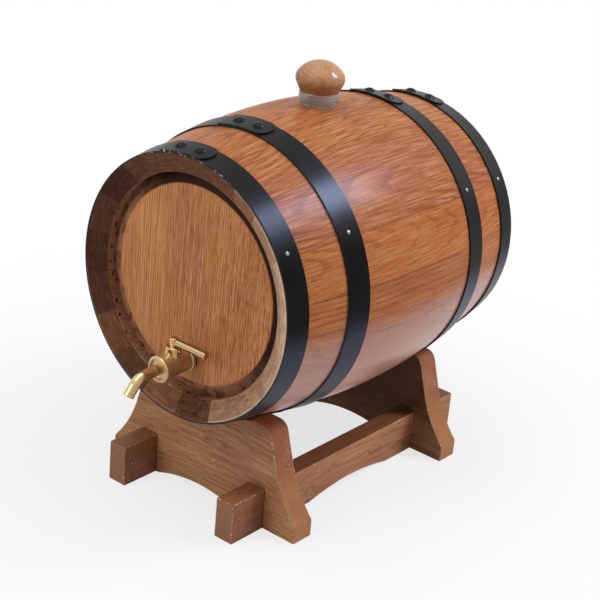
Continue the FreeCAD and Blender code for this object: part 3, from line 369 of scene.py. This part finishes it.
def gloss_round(shade, top, side, under):
    """Gloss round the cask: worn by hands above, nearly matt at the sides, full underneath."""
    angle = shade.angle_round()
    above = shade.ramp(angle, *WORN_TO_MATT, top, side)
    lower = shade.ramp(angle, *MATT_TO_GLOSSY)
    return shade.add(shade.times(shade.rest_of(lower), above), shade.times(lower, under))


LINT = colour(0.72, 0.62, 0.52)


def lint(shade, body):
    """Small white specks in loose clusters."""
    clusters = shade.patches(42, 0.58, 0.66, detail=1.0)
    return shade.mix(shade.times(shade.specks(560, 0.74), clusters, 0.9), body, LINT)


# ---------------------------------------------------------------- staves

# How dark the chimes are painted, stave by stave, from 0 for clean oak to 1 for charred: partly the wood's
# own tone, partly painted shade on the left-hand bevels and painted light on the right-hand ones.
CHIME_TOAST_AND_SHADE = {
    "bung_stave": 0.60, "stave_left_1": 0.60, "stave_left_2": 0.64, "stave_left_3": 0.87,
    "stave_left_4": 0.72, "stave_left_5": 0.82, "stave_left_6": 0.75, "stave_left_7": 0.55,
    "stave_left_8": 0.70, "stave_left_9": 0.46, "stave_right_1": 0.58, "stave_right_2": 0.36,
    "stave_right_3": 0.16, "stave_right_4": 0.05, "stave_right_5": 0.04, "stave_right_6": 0.12,
    "stave_right_7": 0.20, "stave_right_8": 0.25, "stave_right_9": 0.60,
}
EDGE_HIGHLIGHT_STAVES = ("stave_left_7", "stave_left_8", "stave_left_9")       # painted highlight in patches along the bevel's inner edge
KNOTTY_STAVE = "stave_right_9"
# The palest chime colour stands in for painted light on the right-hand bevels.
CLEAN_LIT_CHIME = colour(0.78, 0.560, 0.405)
TOASTED_CHIME = colour(0.200, 0.080, 0.038)
CHARRED_CHIME = colour(0.038, 0.014, 0.007)
INNER_WALL = colour(0.400, 0.190, 0.110)
PALE_RIM = colour(0.72, 0.56, 0.43)
# Painted sheen low on the flank: a lilac-grey colour that stands in for the varnish reflecting the pale
# floor.
PAINTED_FLOOR_SHEEN = colour(0.39, 0.265, 0.30)
FLOOR_SHEEN_ANGLES = degrees(90, 105)
FLOOR_SHEEN_SHARE = 0.28

# Depths below measure from the end of the cask.
BEVEL_DEPTH = 7.65 * MM                  # to the bevel's inner edge
BEVEL_EDGE = 0.25 * MM                   # softness of that edge
BROWNED_DEPTHS = (1.5 * MM, 6.5 * MM)    # over which a clean bevel turns brown
RIM_DEPTHS = (0.15 * MM, 0.45 * MM)      # over which the pale flat rim ends
SLIVER_DEPTHS = (0.9 * MM, 1.5 * MM)     # over which the face outside the chime hoop ends
SKIN = 0.35 * MM                         # what lies deeper than this under the outer face is inside
CHIME_RISE = 0.08                        # how fast the outer face rises from the end
SEAM_ANGLES = (0.005, 0.001)             # short of a joint, where its dark line starts and is full

# How the staves differ: a middle value, the swing about it, its pace from stave to stave, its start.
STAVE_SWINGS = {
    "pith": (0.0, 0.02, 2.4, 0.0),
    "taper": (0.0, 0.10, 1.9, math.pi / 2),
    "ring": (2.55 * MM, 0.45 * MM, 3.3, 0.0),
    "redness": (0.50, 0.30, 4.1, 0.0),
    "ring_strength": (0.50, 0.20, 2.7, 0.0),
}
STAVE_SEED_STEP = 5.37
FIBRES_ROUND = {"silver": (0.30, 0.35), "streak": (0.29, 0.20)}         # at the side, and added on top

# The staves of the right side that differ in the photograph.
STAVE_TONES = {
    "stave_right_2": {"middle": colour(0.38, 0.100, 0.021), "light": colour(0.45, 0.146, 0.036)},
    "stave_right_3": {"middle": colour(0.36, 0.088, 0.018), "light": colour(0.43, 0.126, 0.029),
                      "redness": 0.45},
    "stave_right_4": {"middle": colour(0.42, 0.108, 0.021), "light": colour(0.49, 0.148, 0.032),
                      "redness": 0.05},
    "stave_right_5": {"middle": colour(0.38, 0.100, 0.026), "redness": 0.95},
    "stave_right_6": {"redness": 0.80},
}


def toasted_and_shaded_oak(toast_and_shade):
    """Clean, lit oak at 0, brown at a half, charred at 1: the wood's tone with painted light and shade."""
    if toast_and_shade < 0.5:
        return steeped(2 * toast_and_shade, CLEAN_LIT_CHIME, TOASTED_CHIME)
    return steeped(2 * toast_and_shade - 1, TOASTED_CHIME, CHARRED_CHIME)


def bevel_wood(shade, toast_and_shade, angle, reach, from_end, seed):
    """The chime's bevel: mottled, specked, browner inwards, with the year rings cut edge on."""
    oak = toasted_and_shaded_oak(toast_and_shade)
    body = shade.mix(shade.patches(160, 0.35, 0.70, 0.0, 0.70),
                     oak, steeped(0.05 + 0.25 * toast_and_shade, oak, CHARRED_CHIME))
    body = shade.mix(shade.times(shade.specks(900, 0.66), 0.12 + 0.6 * toast_and_shade), body, CHARRED_CHIME)
    browned = shade.ramp(from_end, *BROWNED_DEPTHS, 0.0, max(0.0, 0.60 - toast_and_shade))
    body = shade.mix(browned, body, TOASTED_CHIME)
    years = shade.noise(shade.join(shade.times(angle, 11), shade.times(reach, 620), seed))
    body = shade.mix(shade.ramp(years, 0.46, 0.66, 0.0, 0.42), body, steeped(0.55, oak, CHARRED_CHIME))
    return shade.mix(shade.ramp(years, 0.34, 0.50, 0.25, 0.0), body, steeped(0.35, oak, CLEAN_LIT_CHIME))


def inner_wall(shade):
    """Between the bevel and the head: lined along the cask, charred in spots, with lint."""
    x, y, z = shade.spot()
    lines = shade.noise(shade.join(shade.times(x, 900), shade.times(y, 60), shade.times(z, 900)))
    body = shade.mix(shade.ramp(lines, 0.40, 0.66, 0.0, 0.45), INNER_WALL, CHARRED_CHIME)
    return lint(shade, shade.mix(shade.specks(230, 0.68), body, CHARRED_CHIME))


def chime_wood(shade, name, angle, reach, from_end, seed):
    """Bevel, inner wall and the thin flat rim beside the hoop."""
    toast_and_shade = CHIME_TOAST_AND_SHADE[name]
    body = bevel_wood(shade, toast_and_shade, angle, reach, from_end, seed)
    past_bevel = shade.ramp(from_end, BEVEL_DEPTH - BEVEL_EDGE, BEVEL_DEPTH + BEVEL_EDGE)
    body = shade.mix(past_bevel, body, inner_wall(shade))
    rim = shade.times(shade.fall(from_end, *RIM_DEPTHS), max(0.0, 0.9 - 1.8 * toast_and_shade))
    body = shade.mix(rim, body, PALE_RIM)
    # Painted highlight: a pale line in patches along the bevel's inner edge.
    if name in EDGE_HIGHLIGHT_STAVES:
        from_edge = shade.absolute(shade.less(from_end, BEVEL_DEPTH))
        line = shade.ramp(from_edge, 0.05 * MM, BEVEL_EDGE, 0.6, 0.0)
        body = shade.mix(shade.times(line, shade.patches(150, 0.35, 0.60, 0.2, 1.0)), body, PALE_RIM)
    if name == KNOTTY_STAVE:
        body = shade.mix(shade.patches(210, 0.52, 0.64, 0.0, 0.85), body, CHARRED_CHIME)
    return body


def stave_place(shade, turn):
    """Angle from the stave's middle, distance from the cask's axis and place along the cask."""
    x, y, z = shade.spot()
    up = shade.less(z, axis_z)
    side = shade.less(shade.times(x, math.cos(turn)), shade.times(up, math.sin(turn)))
    out = shade.add(shade.times(x, math.sin(turn)), shade.times(up, math.cos(turn)))
    return shade.math("ARCTAN2", side, out), shade.distance(x, up), shade.less(y, cask_middle)


def stave_wood(name, look):
    """Oak of one stave: its grain runs along the cask, its face follows the round."""
    shade = Shade(name + "_oak")
    turn, half_width = stave_turn(name)
    angle, reach, along = stave_place(shade, turn)
    body, height = wood_figure(shade, (shade.times(angle, belly_radius), along, 0.0), look)
    seam = shade.ramp(shade.absolute(angle), half_width - SEAM_ANGLES[0], half_width - SEAM_ANGLES[1])
    body = shade.mix(shade.times(seam, 0.45), body, look["dark"])

    toast_and_shade = CHIME_TOAST_AND_SHADE[name]
    from_end = shade.less(cask_half, shade.absolute(along))
    # The face outside the chime hoop darkens with the same table, so partly with painted shade.
    sliver = shade.ramp(from_end, *SLIVER_DEPTHS, min(1.0, 1.4 * toast_and_shade), 0.0)
    body = shade.mix(sliver, body, CHARRED_CHIME)
    skin = shade.add(rim_radius - SKIN, shade.times(from_end, CHIME_RISE))
    inside = shade.ramp(shade.less(skin, reach), -0.05 * MM, 0.05 * MM)
    outside = shade.rest_of(inside)
    body = shade.mix(inside, body, chime_wood(shade, name, angle, reach, from_end, look["seed"]))

    # Painted reflection of the pale floor, mixed into the colour low on the flank.
    floor_sheen = shade.ramp(shade.angle_round(), *FLOOR_SHEEN_ANGLES, 0.0, FLOOR_SHEEN_SHARE)
    body = shade.mix(shade.times(floor_sheen, outside), body, PAINTED_FLOOR_SHEEN)
    gloss = gloss_round(shade, top=0.18, side=0.15, under=0.95)
    return varnish(shade, body, height, coat=shade.times(gloss, outside))


def stave_look(name, number):
    look = dict(OAK, seed=number * STAVE_SEED_STEP)
    for key, (middle, swing, pace, start) in STAVE_SWINGS.items():
        look[key] = middle + swing * math.sin(number * pace + start)
    for key, (side, more) in FIBRES_ROUND.items():
        look[key] = side + more * math.cos(stave_turn(name)[0])
    look.update(STAVE_TONES.get(name, {}))
    return look


def dress_staves():
    staves = sorted(name for name in nodes if name.startswith("stave_") or name == "bung_stave")
    for number, name in enumerate(staves):
        dress(stave_wood(name, stave_look(name, number)), name)


# ---------------------------------------------------------------- heads

HEAD_OAK = dict(OAK, ring=2.3 * MM, taper=0.012, pith=0.13, pith_depth=0.10, sweep=6 * MM,
                ragged=0.5 * MM, pore_strength=0.7, fineness=1500,
                pale=colour(0.66, 0.325, 0.145), light=colour(0.62, 0.255, 0.082),
                middle=colour(0.53, 0.195, 0.058), dark=colour(0.20, 0.060, 0.020),
                red=colour(0.44, 0.165, 0.088))
BOARD_TONES = {
    "left": {"redness": 0.9, "pore_spread": 0.2},
    "middle": {"redness": 0.5, "pore_spread": 0.6},
    "right": {"redness": 0.1, "pore_spread": 1.0},
}
HEAD_SEED = 40
HEAD_SEED_STEP = 3.1
# Shaded and lit copies of the head's bevel colour: painted shade in the recess under the chime.
HEAD_RIM_SHADED = colour(0.030, 0.010, 0.005)
HEAD_RIM_LIT = colour(0.340, 0.155, 0.084)
HEAD_FLAT = 73.8 * MM                    # distance from the axis where the head's bevel starts
RIM_SHADE_SLANT = (0.8, 0.6)                 # the painted shade is darkest this way, towards +X and up
RIM_SHADE_SPREAD = (-45 * MM, 20 * MM)       # along that slant
RIM_SHADE_HEIGHTS = (-62 * MM, -25 * MM)     # above the axis


def head_wood(name, seed):
    """Upright board whose bevel, where it runs under the chime, carries painted shade, darkest towards +X
    and up.
    """
    board = name.split("_")[2]
    shade = Shade(name + "_oak")
    body, height = flat_wood(shade, "x", "z", dict(HEAD_OAK, seed=seed, **BOARD_TONES[board]))
    x, _, z = shade.spot()
    up = shade.less(z, axis_z)
    edge = shade.ramp(shade.distance(x, up), HEAD_FLAT - 0.4 * MM, HEAD_FLAT + 1.0 * MM)
    slant = shade.add(shade.times(x, RIM_SHADE_SLANT[0]), shade.times(up, RIM_SHADE_SLANT[1]))
    rim_shade = shade.times(shade.ramp(slant, *RIM_SHADE_SPREAD), shade.ramp(up, *RIM_SHADE_HEIGHTS, 0.35, 1.0))
    rim = shade.mix(shade.patches(130, 0.50, 0.64, 0.0, 0.6), HEAD_RIM_LIT, HEAD_RIM_SHADED)
    body = shade.mix(edge, body, shade.mix(rim_shade, rim, HEAD_RIM_SHADED))
    gloss = shade.times(shade.rest_of(edge), 0.25)
    return varnish(shade, body, height, coat=gloss, coat_roughness=0.4)


def dress_heads():
    for number, name in enumerate(sorted(name for name in nodes if name.endswith("_board"))):
        dress(head_wood(name, HEAD_SEED + number * HEAD_SEED_STEP), name)


# ---------------------------------------------------------------- stand

STAND_OAK = dict(OAK, ring_strength=0.35, silver=0.5, streak=0.32, redness=0.65, fineness=1300,
                 sweep=14 * MM, taper=0.02,
                 pale=colour(0.62, 0.370, 0.185), light=colour(0.47, 0.225, 0.098),
                 middle=colour(0.37, 0.162, 0.067), dark=colour(0.150, 0.055, 0.023),
                 red=colour(0.37, 0.145, 0.083))
CRADLE_OAK = dict(STAND_OAK, ring=2.2 * MM, pith=0.05)
RAIL_OAK = dict(STAND_OAK, ring=2.4 * MM, redness=0.5, pale=colour(0.58, 0.310, 0.160),
                light=colour(0.48, 0.205, 0.088), middle=colour(0.38, 0.138, 0.056))
WORN_EDGE = colour(0.44, 0.245, 0.135)
RED_STAIN = colour(0.30, 0.078, 0.036)
ORANGE_STAIN = colour(0.36, 0.130, 0.038)
PLAIN_END = colour(0.26, 0.115, 0.064)
WORN_END = blended(0.3, PLAIN_END, WORN_EDGE)
# Darker on the stubs in front of the cradle, and painted shade on the rail's top under the cask.
DARK_STUB_AND_TOP_SHADE = colour(0.120, 0.038, 0.020)
SHADED_SIDE = colour(0.050, 0.019, 0.010)
GAP = colour(0.010, 0.005, 0.003)
DIP_SLOPE = -0.05                        # how the cradle's grain dips along x, and along x squared
DIP_CURVE = 0.85
ORANGE_HEIGHTS = (52 * MM, 66 * MM)      # the cradle's edges are orange below and red above
ORANGE_RAGGED = 30 * MM
SHADED_HEIGHTS = (15 * MM, 50 * MM)
SQUARE = (0.6, 0.9)                      # facing over which a face counts as square to an axis
STUB_EDGE = 1 * MM                       # softness of the line where the rail leaves the cradle
GAP_WIDTHS = (0.3 * MM, 0.9 * MM)


def worn(shade, body, edge):
    """Pale wear and white chips along rounded edges."""
    body = shade.mix(shade.times(edge, shade.patches(110, 0.38, 0.58), 0.75), body, WORN_EDGE)
    return shade.mix(shade.times(edge, shade.specks(480, 0.65), 0.85), body, LINT)


def stand_varnish(shade, body, height):
    return varnish(shade, body, height, coat=0.2, coat_roughness=0.4)


def cradle_wood(name, seed, inward):
    """Yellow-brown board whose grain dips towards its feet, with redder sawn edges.

    Inward is the sign of the normal on the face that looks at the other cradle.
    """
    shade = Shade(name + "_wood")
    x, y, z = shade.spot()
    dip = shade.add(shade.times(x, DIP_SLOPE), shade.times(x, x, DIP_CURVE))
    body, height = wood_figure(shade, (shade.add(z, dip), x, y), dict(CRADLE_OAK, seed=seed))
    normal = shade.normal()[1]
    facing = shade.absolute(normal)

    cloud = shade.cloud(60)
    orange = shade.fall(shade.add(z, shade.times(cloud, ORANGE_RAGGED)), *ORANGE_HEIGHTS)
    stain = shade.mix(orange, RED_STAIN, ORANGE_STAIN)
    stain = shade.mix(shade.ramp(cloud, 0.40, 0.65, 0.0, 0.15), stain, STAND_OAK["pale"])
    sawn = shade.fall(facing, 0.35, 0.60)
    body = shade.mix(shade.times(sawn, 0.68), body, stain)
    edge = shade.times(shade.ramp(facing, 0.15, 0.40), shade.fall(facing, 0.80, 0.97))
    body = lint(shade, worn(shade, body, edge))

    inner = shade.ramp(shade.times(normal, inward), 0.5, 0.9)
    shaded = shade.times(inner, shade.ramp(z, *SHADED_HEIGHTS, 0.45, 0.82))
    return stand_varnish(shade, shade.mix(shaded, body, SHADED_SIDE), height)


def rail_wood(name, seed):
    """Reddish bar: plain cut ends, painted shade on its top under the cask, and darker stubs in front of the
    cradle.
    """
    shade = Shade(name + "_wood")
    x, y, z = shade.spot()
    body, height = wood_figure(shade, (z, y, x), dict(RAIL_OAK, seed=seed))
    facing_x, facing_y, facing_z = [shade.absolute(part) for part in shade.normal()]

    cloud = shade.cloud(70)
    top = shade.ramp(facing_z, *SQUARE)
    stub = shade.ramp(y, cradle_front - STUB_EDGE, cradle_front + STUB_EDGE, 0.45, 0.0)
    # Painted shade on the top under the cask, and darker stubs.
    body = shade.mix(shade.most(stub, shade.times(top, 0.55)), body, DARK_STUB_AND_TOP_SHADE)
    body = shade.mix(shade.times(top, stub, shade.ramp(cloud, 0.4, 0.6)), body, ORANGE_STAIN)
    end = shade.times(shade.ramp(facing_y, *SQUARE), 0.85)
    body = shade.mix(end, body, shade.mix(cloud, PLAIN_END, WORN_END))
    squarest = shade.most(shade.most(facing_x, facing_y), facing_z)
    body = lint(shade, worn(shade, body, shade.fall(squarest, 0.80, 0.95)))

    joint = shade.absolute(shade.less(y, cradle_front))
    gap = shade.ramp(joint, *GAP_WIDTHS, 0.85, 0.0)
    return stand_varnish(shade, shade.mix(gap, body, GAP), height)


def dress_stand():
    dress(cradle_wood("front_cradle", seed=80, inward=1.0), "front_cradle")
    dress(cradle_wood("rear_cradle", seed=87, inward=-1.0), "rear_cradle")
    dress(rail_wood("left_rail", seed=100), "left_rail")
    dress(rail_wood("right_rail", seed=107), "right_rail")


# ---------------------------------------------------------------- knob and dowels

KNOB_OAK = dict(OAK, seed=130, ring=2.0 * MM, pith=3 * MM, pith_depth=-cask_middle - 4 * MM,
                taper=0.10, sweep=5 * MM, ragged=0.25 * MM, ring_strength=0.45, silver=0.35,
                streak=0.15, pore_strength=0.2, redness=0.5,
                pale=colour(0.66, 0.43, 0.245), light=colour(0.56, 0.295, 0.135),
                middle=colour(0.44, 0.180, 0.074), dark=colour(0.22, 0.068, 0.028),
                red=colour(0.45, 0.17, 0.075))
DOWEL_BEECH = dict(OAK, seed=150, ring=1.5 * MM, light=colour(0.6, 0.42, 0.25),
                   middle=colour(0.5, 0.33, 0.18), dark=colour(0.3, 0.17, 0.08))
KNOB_SHADE_UNDER = (20 * MM, 5 * MM)           # below the knob's top, painted shade from brown to clear
KNOB_SHADE_LEFT = (-18 * MM, 3 * MM)           # along x, painted shade from brown to clear


def knob_wood():
    """Turned with its grain upright, so that the rings run round it; painted shade makes it browner on the
    left and below.
    """
    shade = Shade("bung_knob_oak")
    body, height = flat_wood(shade, "x", "z", KNOB_OAK)
    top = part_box("bung_knob")[1].z
    x, _, z = shade.spot()
    ragged = shade.centred(shade.cloud(90, detail=2.0))
    under = shade.ramp(shade.add(z, shade.times(ragged, 12 * MM)),
                       top - KNOB_SHADE_UNDER[0], top - KNOB_SHADE_UNDER[1], 0.65, 0.0)
    left = shade.ramp(shade.add(x, shade.times(ragged, 16 * MM)), *KNOB_SHADE_LEFT, 0.6, 0.0)
    # Painted shade, browner on the left and below.
    body = shade.mix(shade.most(under, left), body, KNOB_OAK["dark"])
    return varnish(shade, body, shade.times(height, 0.3), coat_roughness=0.18)


def dowel_wood():
    shade = Shade("dowel_beech")
    body, height = flat_wood(shade, "z", "x", DOWEL_BEECH)
    return varnish(shade, body, height, coat=0.0, roughness=0.7)


# ---------------------------------------------------------------- metal, silicone and rubber

PAINT = colour(0.0035, 0.0031, 0.0026)
DUSTY_PAINT = colour(0.006, 0.0055, 0.0048)
# A painted highlight on the hoops' edge faces.
PAINTED_EDGE_HIGHLIGHT = colour(0.030, 0.030, 0.032)
BARE_CHIP = colour(0.42, 0.42, 0.42)
PAINTED_BLUE_SHEEN = colour(0.026, 0.029, 0.052)      # painted bluish sheen low on the hoops
BLUE_SHEEN_COMES = degrees(86, 100)
BLUE_SHEEN_GOES = degrees(112, 136)
KNOCKED_HEIGHTS = (75 * MM, 95 * MM)     # above the axis, over which the chips begin
KNOCKED_DEPTHS = (3 * MM, 5 * MM)        # from the front end, over which they stop

# Lit and shaded copies of the brass colour, for painted light and shade.
LIT_BRASS = colour(0.66, 0.475, 0.235)
SHADED_BRASS = colour(0.38, 0.205, 0.090)
# The dull lines of the lever: partly drawing marks, partly painted reflections.
REFLECTION_LINE_BRASS = colour(0.20, 0.100, 0.042)
PAINTED_LIGHT_SIDE = (-0.45, -0.35, 0.70)        # painted light falls from here, up, to the left and to the front
LACQUER = {"coat_weight": 0.3, "coat_roughness": 0.05}

DARK_STEEL = colour(0.21, 0.180, 0.130)
LIGHT_STEEL = colour(0.39, 0.345, 0.265)

SILICONE = colour(0.46, 0.36, 0.32)
PALE_SILICONE = colour(0.62, 0.53, 0.49)
# Painted highlights in streaks on the lower band.
GLINT_SILICONE = colour(0.85, 0.82, 0.79)
# Painted shade in the crease below the lip.
CREASE_SHADE = colour(0.16, 0.09, 0.06)
SLEEVE_LIP = 5.3 * MM                    # from the sleeve's top to the crease below its lip
GLINT_BAND = 0.9 * MM
CREASE_SHADE_WIDTHS = (0.1 * MM, 0.5 * MM)

RUBBER = colour(0.015, 0.014, 0.013)
DUSTY_RUBBER = colour(0.03, 0.028, 0.026)


def black_enamel(name, relief=0.03 * MM):
    """Semi-gloss black paint over rolled strip, chipped to bright specks along the edges, with a painted
    highlight on its edge faces and a painted bluish sheen low on the hoops.
    """
    shade = Shade(name)
    _, y, z = shade.spot()
    edge = shade.ramp(shade.absolute(shade.normal()[1]), 0.70, 0.95)
    knocked = shade.times(shade.ramp(z, axis_z + KNOCKED_HEIGHTS[0], axis_z + KNOCKED_HEIGHTS[1]),
                          shade.fall(y, chime_front + KNOCKED_DEPTHS[0], chime_front + KNOCKED_DEPTHS[1]))
    angle = shade.angle_round()
    blue_sheen = shade.times(shade.ramp(angle, *BLUE_SHEEN_COMES), shade.ramp(angle, *BLUE_SHEEN_GOES, 1.0, 0.25))
    body = shade.mix(shade.patches(45, 0.35, 0.7), PAINT, DUSTY_PAINT)
    # Painted highlight on the edge faces.
    body = shade.mix(shade.times(edge, 0.5), body, PAINTED_EDGE_HIGHLIGHT)
    body = shade.mix(shade.times(edge, shade.patches(520, 0.58, 0.66, detail=2.0), knocked), body, BARE_CHIP)
    body = shade.mix(blue_sheen, body, PAINTED_BLUE_SHEEN)
    shade.bump(shade.cloud(900, detail=2.0), distance=relief, strength=0.3)
    return shade.finish(base_color=body, specular_ior_level=0.04, roughness=0.4, coat_ior=1.4,
                        coat_weight=gloss_round(shade, top=0.28, side=0.05, under=0.30),
                        coat_roughness=0.27)


def brass(name, roughness, metallic=1.0, shading=0.85):
    """Yellow brass under thin lacquer, with painted light and shade: browner where it faces down or away
    from the lit side.
    """
    shade = Shade(name)
    lit = [shade.times(part, weight) for part, weight in zip(shade.normal(), PAINTED_LIGHT_SIDE)]
    facing_light = shade.add(*lit, shade.times(shade.cloud(160), 0.3))
    body = shade.mix(shade.ramp(facing_light, 0.05, 0.75, shading, 0.0), LIT_BRASS, SHADED_BRASS)
    shade.bump(shade.cloud(420, detail=2.0), distance=0.06 * MM, strength=0.4)
    return shade.finish(base_color=body, metallic=metallic, roughness=roughness, **LACQUER)


def reflection_lined_brass(name, roughness, piece):
    """Drawn brass bar along X: bright and dull lines run down its length, partly drawing marks and partly
    painted reflections.
    """
    shade = Shade(name)
    low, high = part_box(piece)
    _, y, z = shade.spot()
    side = shade.less(y, (low.y + high.y) / 2)
    above = shade.less(z, high.z - (high.y - low.y) / 2)
    turn = shade.math("ARCTAN2", side, above)
    lines = shade.noise(shade.join(shade.times(turn, 1.9), 0.0, 4.0), detail=1.0)
    # Painted reflections, partly drawing marks: lines along the bar.
    body = shade.mix(shade.ramp(lines, 0.43, 0.53), REFLECTION_LINE_BRASS, LIT_BRASS)
    return shade.finish(base_color=body, metallic=1.0, roughness=roughness, **LACQUER)


def bright_steel(name):
    shade = Shade(name)
    body = shade.mix(shade.cloud(300, detail=2.0), DARK_STEEL, LIGHT_STEEL)
    return shade.finish(base_color=body, metallic=1.0, roughness=0.32)


def clear_silicone():
    """Clear, slightly pink silicone: painted highlights in pale streaks on its lower band, and painted shade
    in the crease below its lip.
    """
    shade = Shade("clear_silicone")
    x, y, z = shade.spot()
    cloud = shade.cloud(120, detail=2.0)
    turn = shade.math("ARCTAN2", x, shade.less(y, cask_middle))
    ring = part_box("bung_sleeve")[1].z - SLEEVE_LIP
    wave = shade.centred(shade.noise(shade.join(turn, 0.0, 0.0)))
    wavy = shade.add(z, shade.times(wave, 1.2 * MM))
    lower_glint = shade.fall(wavy, ring - GLINT_BAND, ring)
    streaks = shade.noise(shade.join(shade.times(turn, 1.5), shade.times(z, 250), 0.0))
    crease_shade = shade.ramp(shade.absolute(shade.less(wavy, ring)), *CREASE_SHADE_WIDTHS, 0.7, 0.0)
    body = shade.mix(cloud, SILICONE, PALE_SILICONE)
    # Painted highlights in pale streaks on the lower band.
    body = shade.mix(shade.times(lower_glint, shade.ramp(streaks, 0.42, 0.66), 0.7), body, GLINT_SILICONE)
    # Painted shade along the crease below the lip.
    body = shade.mix(crease_shade, body, CREASE_SHADE)
    shade.bump(cloud, distance=0.2 * MM, strength=0.5)
    return shade.finish(base_color=body, roughness=0.16, transmission_weight=0.55, ior=1.41)


def black_rubber():
    shade = Shade("black_rubber")
    body = shade.mix(shade.cloud(200, detail=2.0), RUBBER, DUSTY_RUBBER)
    return shade.finish(base_color=body, roughness=0.6)


def dress_hardware():
    dress(black_enamel("black_enamel"), *(name for name in nodes if name.endswith("_hoop")))
    dress(black_enamel("rivet_enamel", relief=0.4 * MM), "hoop_rivets")
    dress(bright_steel("nail_steel"), "hoop_nails")
    dress(bright_steel("zinc_steel"), "stand_screws")
    dress(brass("polished_brass", roughness=0.12), "tap_plug", "tap_bonnet", "tap_lock_screw")
    dress(reflection_lined_brass("lever_brass", roughness=0.12, piece="tap_lever"), "tap_lever")
    dress(brass("drawn_brass", roughness=0.16, metallic=0.75, shading=0.6), "tap_spout")
    dress(brass("cast_brass", roughness=0.25, metallic=0.60, shading=0.7), "tap_body")
    dress(black_rubber(), "tap_gasket", "tap_stem_seal")
    dress(clear_silicone(), "bung_sleeve")


# ---------------------------------------------------------------- studio

WHITE = colour(1.0, 1.0, 1.0)
FLOOR_PAINT = colour(0.88, 0.88, 0.88)
FLOOR_HALF = 6.0
GLOW_REACH = (0.15, 0.50)                # from the middle, over which the floor turns white
GLOW_UNDER_CASK = 0.74                   # how white it already is there
WORLD_LIGHT = 0.20
WINDOW = (0.45, 0.53, 0.72)              # towards the window, from the cask
WINDOW_GLINT = (0.46, 0.49, 0.73)        # the same window, as the varnish mirrors it
WINDOW_EDGE = (-0.5, 0.85, -0.3)         # the line of its first side
DAYLIGHT = (0.86, 0.92, 1.0)
BLUE_SKY = (0.42, 0.56, 1.0)


def backdrop_rays(tree):
    """1 for the rays that see the background: from the camera, off gloss and through glass."""
    path = tree.nodes.new("ShaderNodeLightPath")
    seen = path.outputs["Is Camera Ray"]
    for kind in ("Is Glossy Ray", "Is Transmission Ray"):
        either = tree.nodes.new("ShaderNodeMath")
        either.operation = "MAXIMUM"
        tree.links.new(seen, either.inputs[0])
        tree.links.new(path.outputs[kind], either.inputs[1])
        seen = either.outputs[0]
    return seen


def add_floor():
    """Pale floor that turns white away from the object, so that only its shadow shows."""
    data = bpy.data.meshes.new("floor")
    corners = [(-FLOOR_HALF, -FLOOR_HALF, 0), (FLOOR_HALF, -FLOOR_HALF, 0),
               (FLOOR_HALF, FLOOR_HALF, 0), (-FLOOR_HALF, FLOOR_HALF, 0)]
    data.from_pydata(corners, [], [(0, 1, 2, 3)])
    floor = bpy.data.objects.new("floor", data)
    bpy.context.scene.collection.objects.link(floor)
    shade = Shade("pale_floor")
    data.materials.append(shade.finish(base_color=FLOOR_PAINT, roughness=0.9))
    x, y, _ = shade.spot()
    away = shade.ramp(shade.distance(x, y), *GLOW_REACH, GLOW_UNDER_CASK, 1.0)
    glow = shade.node("Emission", {"Color": WHITE, "Strength": 1.0})
    blend = shade.node("MixShader", {"Fac": shade.times(backdrop_rays(shade.tree), away)})
    shade.feed(blend.inputs[1], shade.surface.outputs["BSDF"])
    shade.feed(blend.inputs[2], glow.outputs["Emission"])
    shade.feed(shade.tree.nodes["Material Output"].inputs["Surface"], blend.outputs["Shader"])


def add_world():
    """White to the camera, to mirrors and through glass; a softer grey as light."""
    world = bpy.data.worlds.new("studio")
    bpy.context.scene.world = world
    world.use_nodes = True
    tree = world.node_tree
    strength = tree.nodes.new("ShaderNodeMapRange")
    strength.inputs["To Min"].default_value = WORLD_LIGHT
    strength.inputs["To Max"].default_value = 1.0
    tree.links.new(backdrop_rays(tree), strength.inputs["Value"])
    tree.links.new(strength.outputs["Result"], tree.nodes["Background"].inputs["Strength"])
    tree.nodes["Background"].inputs["Color"].default_value = WHITE


def add_lamp(name, towards, distance, size, watts, edge=(1.0, 0.0, 0.0), tint=(1.0, 1.0, 1.0)):
    """A softbox in this direction from the cask's middle, facing it, its first side along the edge."""
    data = bpy.data.lights.new(name, "AREA")
    data.shape = "RECTANGLE"
    data.size, data.size_y = size
    data.energy = watts
    data.color = tint
    lamp = bpy.data.objects.new(name, data)
    bpy.context.scene.collection.objects.link(lamp)
    away = Vector(towards).normalized()
    up = away.cross(Vector(edge)).normalized()
    turn = Matrix((up.cross(away), up, away)).transposed().to_4x4()
    lamp.matrix_world = Matrix.Translation(Vector((0, 0, axis_z)) + away * distance) @ turn
    lamp.visible_camera = False
    return lamp


def add_studio():
    add_floor()
    add_world()
    add_lamp("overhead_softbox", towards=(-0.1, -0.15, 1.0), distance=1.3, size=(1.1, 1.1), watts=8.0)
    add_lamp("window_softbox", towards=WINDOW, distance=1.5, size=(0.40, 0.50), watts=8.0,
             edge=WINDOW_EDGE, tint=DAYLIGHT)
    glint = add_lamp("window_glint", towards=WINDOW_GLINT, distance=1.49, size=(0.36, 0.40), watts=19.0,
                     edge=WINDOW_EDGE, tint=BLUE_SKY)
    glint.visible_diffuse = False        # seen only in gloss
    add_lamp("front_softbox", towards=(-0.25, -1.0, 0.55), distance=1.8, size=(0.9, 0.9), watts=10.0)
    side = add_lamp("side_softbox", towards=(1.0, 0.7, 0.30), distance=1.8, size=(0.9, 0.9), watts=10.0)
    side.visible_glossy = False          # lights only the matt colour
    bpy.context.scene.view_settings.view_transform = "Standard"


# ---------------------------------------------------------------- making

add_camera()
dress_staves()
dress_heads()
dress_stand()
dress(knob_wood(), "bung_knob")
dress(dowel_wood(), "front_head_dowels", "rear_head_dowels")
dress_hardware()
add_studio()
